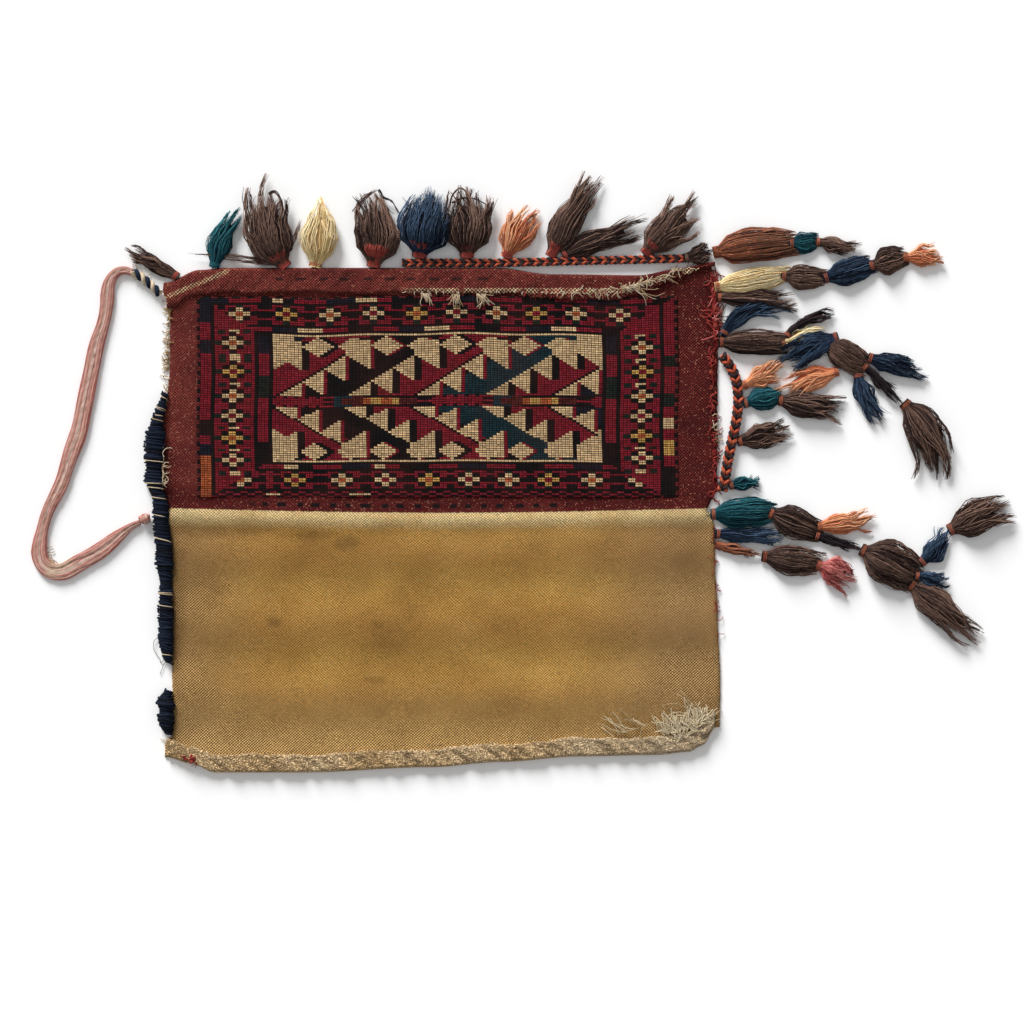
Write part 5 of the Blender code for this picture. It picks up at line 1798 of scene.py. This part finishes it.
FRAYS = (
    Fray(Yarn.CREAM, (421, 293), (429, 294), 18, -72, 14, 0.010, 30, 0.0068, 0.00036),
    Fray(Yarn.CREAM, (452, 294), (460, 295), 20, -100, 16, 0.009, 30, 0.0068, 0.00036),
    Fray(Yarn.CREAM, (476, 294), (486, 294), 24, -70, 20, 0.012, 40, 0.0068, 0.00036),
    Fray(Yarn.CREAM, (405, 292), (560, 292), 30, -90, 60, 0.003, 70, 0.0068, 0.00036),
    Fray(Yarn.CREAM, (560, 292), (618, 291), 34, -80, 50, 0.007, 80, 0.0072, 0.00035),
    Fray(Yarn.CREAM, (618, 290), (650, 280), 70, -20, 50, 0.007, 80, 0.0072, 0.00038),
    Fray(Yarn.CREAM, (650, 281), (690, 266), 26, -30, 40, 0.006, 50, 0.0072, 0.00038),
    Fray(Yarn.CREAM, (628, 290), (640, 288), 6, -35, 8, 0.022, 20, 0.0072, 0.0003),
    Fray(Yarn.CREAM, (655, 278), (662, 276), 4, -15, 8, 0.018, 20, 0.0072, 0.0003),
    Fray(Yarn.RED, (515, 292), (620, 290), 20, -85, 50, 0.008, 90, 0.0070),
    Fray(Yarn.RED, (710, 270), (714, 345), 80, 5, 60, 0.012, 110, 0.0044, 0.0005),
    Fray(Yarn.PINK, (711, 275), (715, 340), 16, 5, 60, 0.010, 120, 0.0048, 0.0006),
    Fray(Yarn.BROWN, (714, 285), (718, 350), 20, 0, 60, 0.014, 110, 0.0040, 0.0004),
    Fray(Yarn.RED, (708, 350), (714, 500), 70, 0, 60, 0.009, 110, 0.0044, 0.00045),
    Fray(Yarn.BEIGE, (171, 300), (168, 402), 90, 180, 40, 0.0065, 110, 0.0044, 0.00042),
    Fray(Yarn.CREAM, (165, 455), (165, 482), 40, 185, 50, 0.011, 120, 0.0088, 0.00036),
    Fray(Yarn.CREAM, (136, 272), (146, 282), 22, 150, 60, 0.008, 90, 0.0040, 0.00034),
    Fray(Yarn.CREAM, (40, 545), (50, 565), 26, 40, 90, 0.009, 110, 0.0046, 0.00036),
    Fray(Yarn.CREAM, (166, 596), (167, 645), 14, 180, 40, 0.004, 60, 0.0088, 0.0004),
    Fray(Yarn.CREAM, (712, 415), (716, 442), 14, 10, 60, 0.006, 90, 0.0040, 0.0004),
    Fray(Yarn.RED, (712, 520), (717, 640), 34, 0, 60, 0.006, 70, 0.0040),
    Fray(Yarn.GREY, (162, 655), (160, 676), 4, 135, 45, 0.040, 60, 0.0020, 0.0003),
    Fray(Yarn.FRAYED, (664, 735), (706, 722), 90, 118, 20, 0.018, 30, 0.0064, 0.00036),
    Fray(Yarn.FRAYED, (676, 742), (712, 722), 70, 100, 30, 0.014, 40, 0.0064, 0.00036),
    Fray(Yarn.FRAYED, (694, 728), (706, 716), 50, 60, 60, 0.008, 90, 0.0070, 0.0004),
    Fray(Yarn.FRAYED, (612, 736), (650, 724), 14, 155, 12, 0.022, 20, 0.0062, 0.0003),
    Fray(Yarn.FRAYED, (684, 716), (708, 714), 7, 135, 20, 0.030, 20, 0.0062, 0.0003),
    Fray(Yarn.BEIGE, (215, 757), (640, 733), 60, 90, 40, 0.003, 60, 0.0064, 0.00028),
    Fray(Yarn.BEIGE, (165, 740), (200, 765), 18, 200, 60, 0.006, 60, 0.0050),
    Fray(Yarn.RED, (192, 758), (194, 760), 16, 0, 180, 0.0045, 300, 0.0080, 0.0006),
    Fray(Yarn.RED, (185, 756), (186, 757), 9, 0, 180, 0.0034, 300, 0.0080, 0.0005),
)


@dataclass
class Studio:
    """The pale floor, the soft lamps and the camera above."""

    camera_height: float = 2.5
    floor_half: float = 3.0

    def build(self) -> None:
        """Set up the view, the light and the ground."""
        scene = bpy.context.scene
        scene.view_settings.view_transform = "Standard"
        self.add_camera(scene)
        self.add_floor()
        self.add_sun((0.30, -0.72, -0.33), 4.8, 24.0)
        scene.world = self.pale_room(0.42)

    def pale_room(self, strength: float) -> bpy.types.World:
        """Return a plain white world that lights at a strength but looks white to the camera."""
        world = bpy.data.worlds.new("pale room")
        world.use_nodes = True
        tree = world.node_tree
        light = tree.nodes["Background"]
        light.inputs["Color"].default_value = (1.0, 1.0, 1.0, 1.0)
        light.inputs["Strength"].default_value = strength
        seen = tree.nodes.new("ShaderNodeBackground")
        seen.inputs["Color"].default_value = (1.0, 1.0, 1.0, 1.0)
        seen.inputs["Strength"].default_value = 1.0
        rays = tree.nodes.new("ShaderNodeLightPath")
        either = tree.nodes.new("ShaderNodeMixShader")
        tree.links.new(rays.outputs["Is Camera Ray"], either.inputs[0])
        tree.links.new(light.outputs[0], either.inputs[1])
        tree.links.new(seen.outputs[0], either.inputs[2])
        tree.links.new(either.outputs[0], tree.nodes["World Output"].inputs["Surface"])
        return world

    def add_camera(self, scene: bpy.types.Scene) -> None:
        """Hang the camera over the photograph's middle, so that one pixel is the same size."""
        middle = at(PHOTO_SIZE / 2, PHOTO_SIZE / 2)
        camera = bpy.data.cameras.new("overhead camera")
        camera.sensor_width = 36.0
        camera.lens = camera.sensor_width * self.camera_height / (PHOTO_SIZE * PHOTO_PIXEL)
        item = bpy.data.objects.new("overhead camera", camera)
        item.location = (middle.x, middle.y, self.camera_height)
        scene.collection.objects.link(item)
        scene.camera = item

    def add_sun(self, travel: Rgb, strength: float, spread: float) -> None:
        """Add the soft window light, from the way that it travels and its spread in degrees."""
        lamp = bpy.data.lights.new("window", "SUN")
        lamp.energy = strength
        lamp.angle = math.radians(spread)
        item = bpy.data.objects.new("window", lamp)
        item.rotation_euler = Vector(travel).to_track_quat("-Z", "Y").to_euler()
        bpy.context.scene.collection.objects.link(item)

    def add_floor(self) -> None:
        """Lay the pale ground."""
        half = self.floor_half
        mesh = bpy.data.meshes.new("pale_ground")
        mesh.from_pydata([(-half, -half, 0), (half, -half, 0), (half, half, 0), (-half, half, 0)], [],
                         [(0, 1, 2, 3)])
        finish = Finish("pale ground", 0.9)
        finish.shader.inputs["Base Color"].default_value = (1.0, 1.0, 1.0, 1.0)
        mesh.materials.append(finish.material)
        item = bpy.data.objects.new("pale_ground", mesh)
        item.location.z = -0.0004
        bpy.context.scene.collection.objects.link(item)


@dataclass
class Bag:
    """The whole bag: its cords first, then the cloth and everything sewn to it."""

    pieces: dict[str, bpy.types.Object] = field(default_factory=dict)

    def add_cords(self) -> None:
        """Lay the strap, its tie and the side braid, each along the CAD model's route."""
        cotton = strap_finish()
        strap_route = tuple((MOUTH + x, y) for x, y in STRAP_ROUTE)
        strap, strap_path = Strap(strap_route, np.array(STRAP_PINCHES)).build(cotton)
        knot_start, before = Vector((*strap_route[-1], 0)), Vector((*strap_route[-2], 0))
        knot = StrapKnot(knot_start + (knot_start - before).normalized() * 0.0028,
                         Vector((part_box("strap_knot")[1].x - 0.0032, knot_start.y + 0.0030, 0))).build(cotton)
        tie_route = tuple((MOUTH + x, y) for x, y in STRAP_CORD_ROUTE)
        tie, tie_path = TwistedCord(tie_route).build()
        route = smooth_route(tuple((TASSEL_EDGE + x, y) for x, y in SIDE_BRAID_ROUTE), 12,
                             SIDE_BRAID_DIAMETER / 2)
        braid = Braid("side_braid", route, 0.0104, 0.8, 0.0098, (Yarn.DARK, Yarn.BRAID)).build()
        self.pieces["side_braid"] = braid
        self.side_route = evenly(route, 0.0016)
        LOG.info("strap %.3f m, tie %.3f m, side braid %.3f m", length_of(strap_path), length_of(tie_path),
                 length_of(self.side_route))

    def add_cloth(self) -> None:
        """Weave the cloth, knot its panel, turn its hems and bind its mouth."""
        cloth = Cloth().build()
        pile = Pile().build()
        top = Hem("upper_hem", OUTLINE.top_y, -1, 0.0235, 0.0062, red_hem_finish(), 0.0006).build()
        bottom = Hem("lower_hem", OUTLINE.bottom_y, 1, 0.0172, 0.0066, beige_hem_finish(), 0.0013).build()
        threads = LooseThreads(FRAYS).build()
        MouthBinding("mouth_binding", MOUTH_STATIONS).build()
        MouthBinding("lower_mouth_binding", LOWER_STATIONS).build()
        LOG.info("cloth, pile, two hems and %d kinds of loose thread", len(threads))

    def add_tassels(self) -> None:
        """Plait the top braid and tie on every tassel and tuft."""
        low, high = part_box("top_braid")
        count = 24
        x = np.linspace(low.x, high.x, count)
        rise = np.maximum(0.0, x / CLOTH_WIDTH - 0.1) * 0.012
        route = np.stack([x, FRONT_HEIGHT + 0.0003 + 0.00425 + rise, np.full(count, 0.0032)], axis=1)
        Braid("top_braid", route, 0.0085, 0.75, 0.0092, (Yarn.DARK, Yarn.BRAID)).build()
        self.add_wisps()
        for tuft in TUFTS:
            made = tuft.build()
        LOG.info("top braid and %d tufts", len(TUFTS))

    def add_wisps(self) -> None:
        """Lay the thin locks that stray from the tassels, one piece for each yarn."""
        for yarn in dict.fromkeys(wisp.yarn for wisp in WISPS):
            rng = np.random.default_rng(70 + len(yarn.value.name))
            knitter = Knitter()
            for wisp in (wisp for wisp in WISPS if wisp.yarn is yarn):
                for places, radii in wisp.strands(rng):
                    share = np.linspace(0, 1, len(places))
                    knitter.tube(places, radii, 3, tint(len(places), share, rng.random() * 0.9))
            name = "stray_" + yarn.value.name.replace(" ", "_")
            dress(knitter.finish(name, yarn_finish(yarn)), yarn.value.slot)


def main() -> None:
    """Build the studio and the bag, and note the sizes."""
    Studio().build()
    bag = Bag()
    bag.add_cords()
    bag.add_cloth()
    bag.add_tassels()


if __name__ == "__main__":
    main()
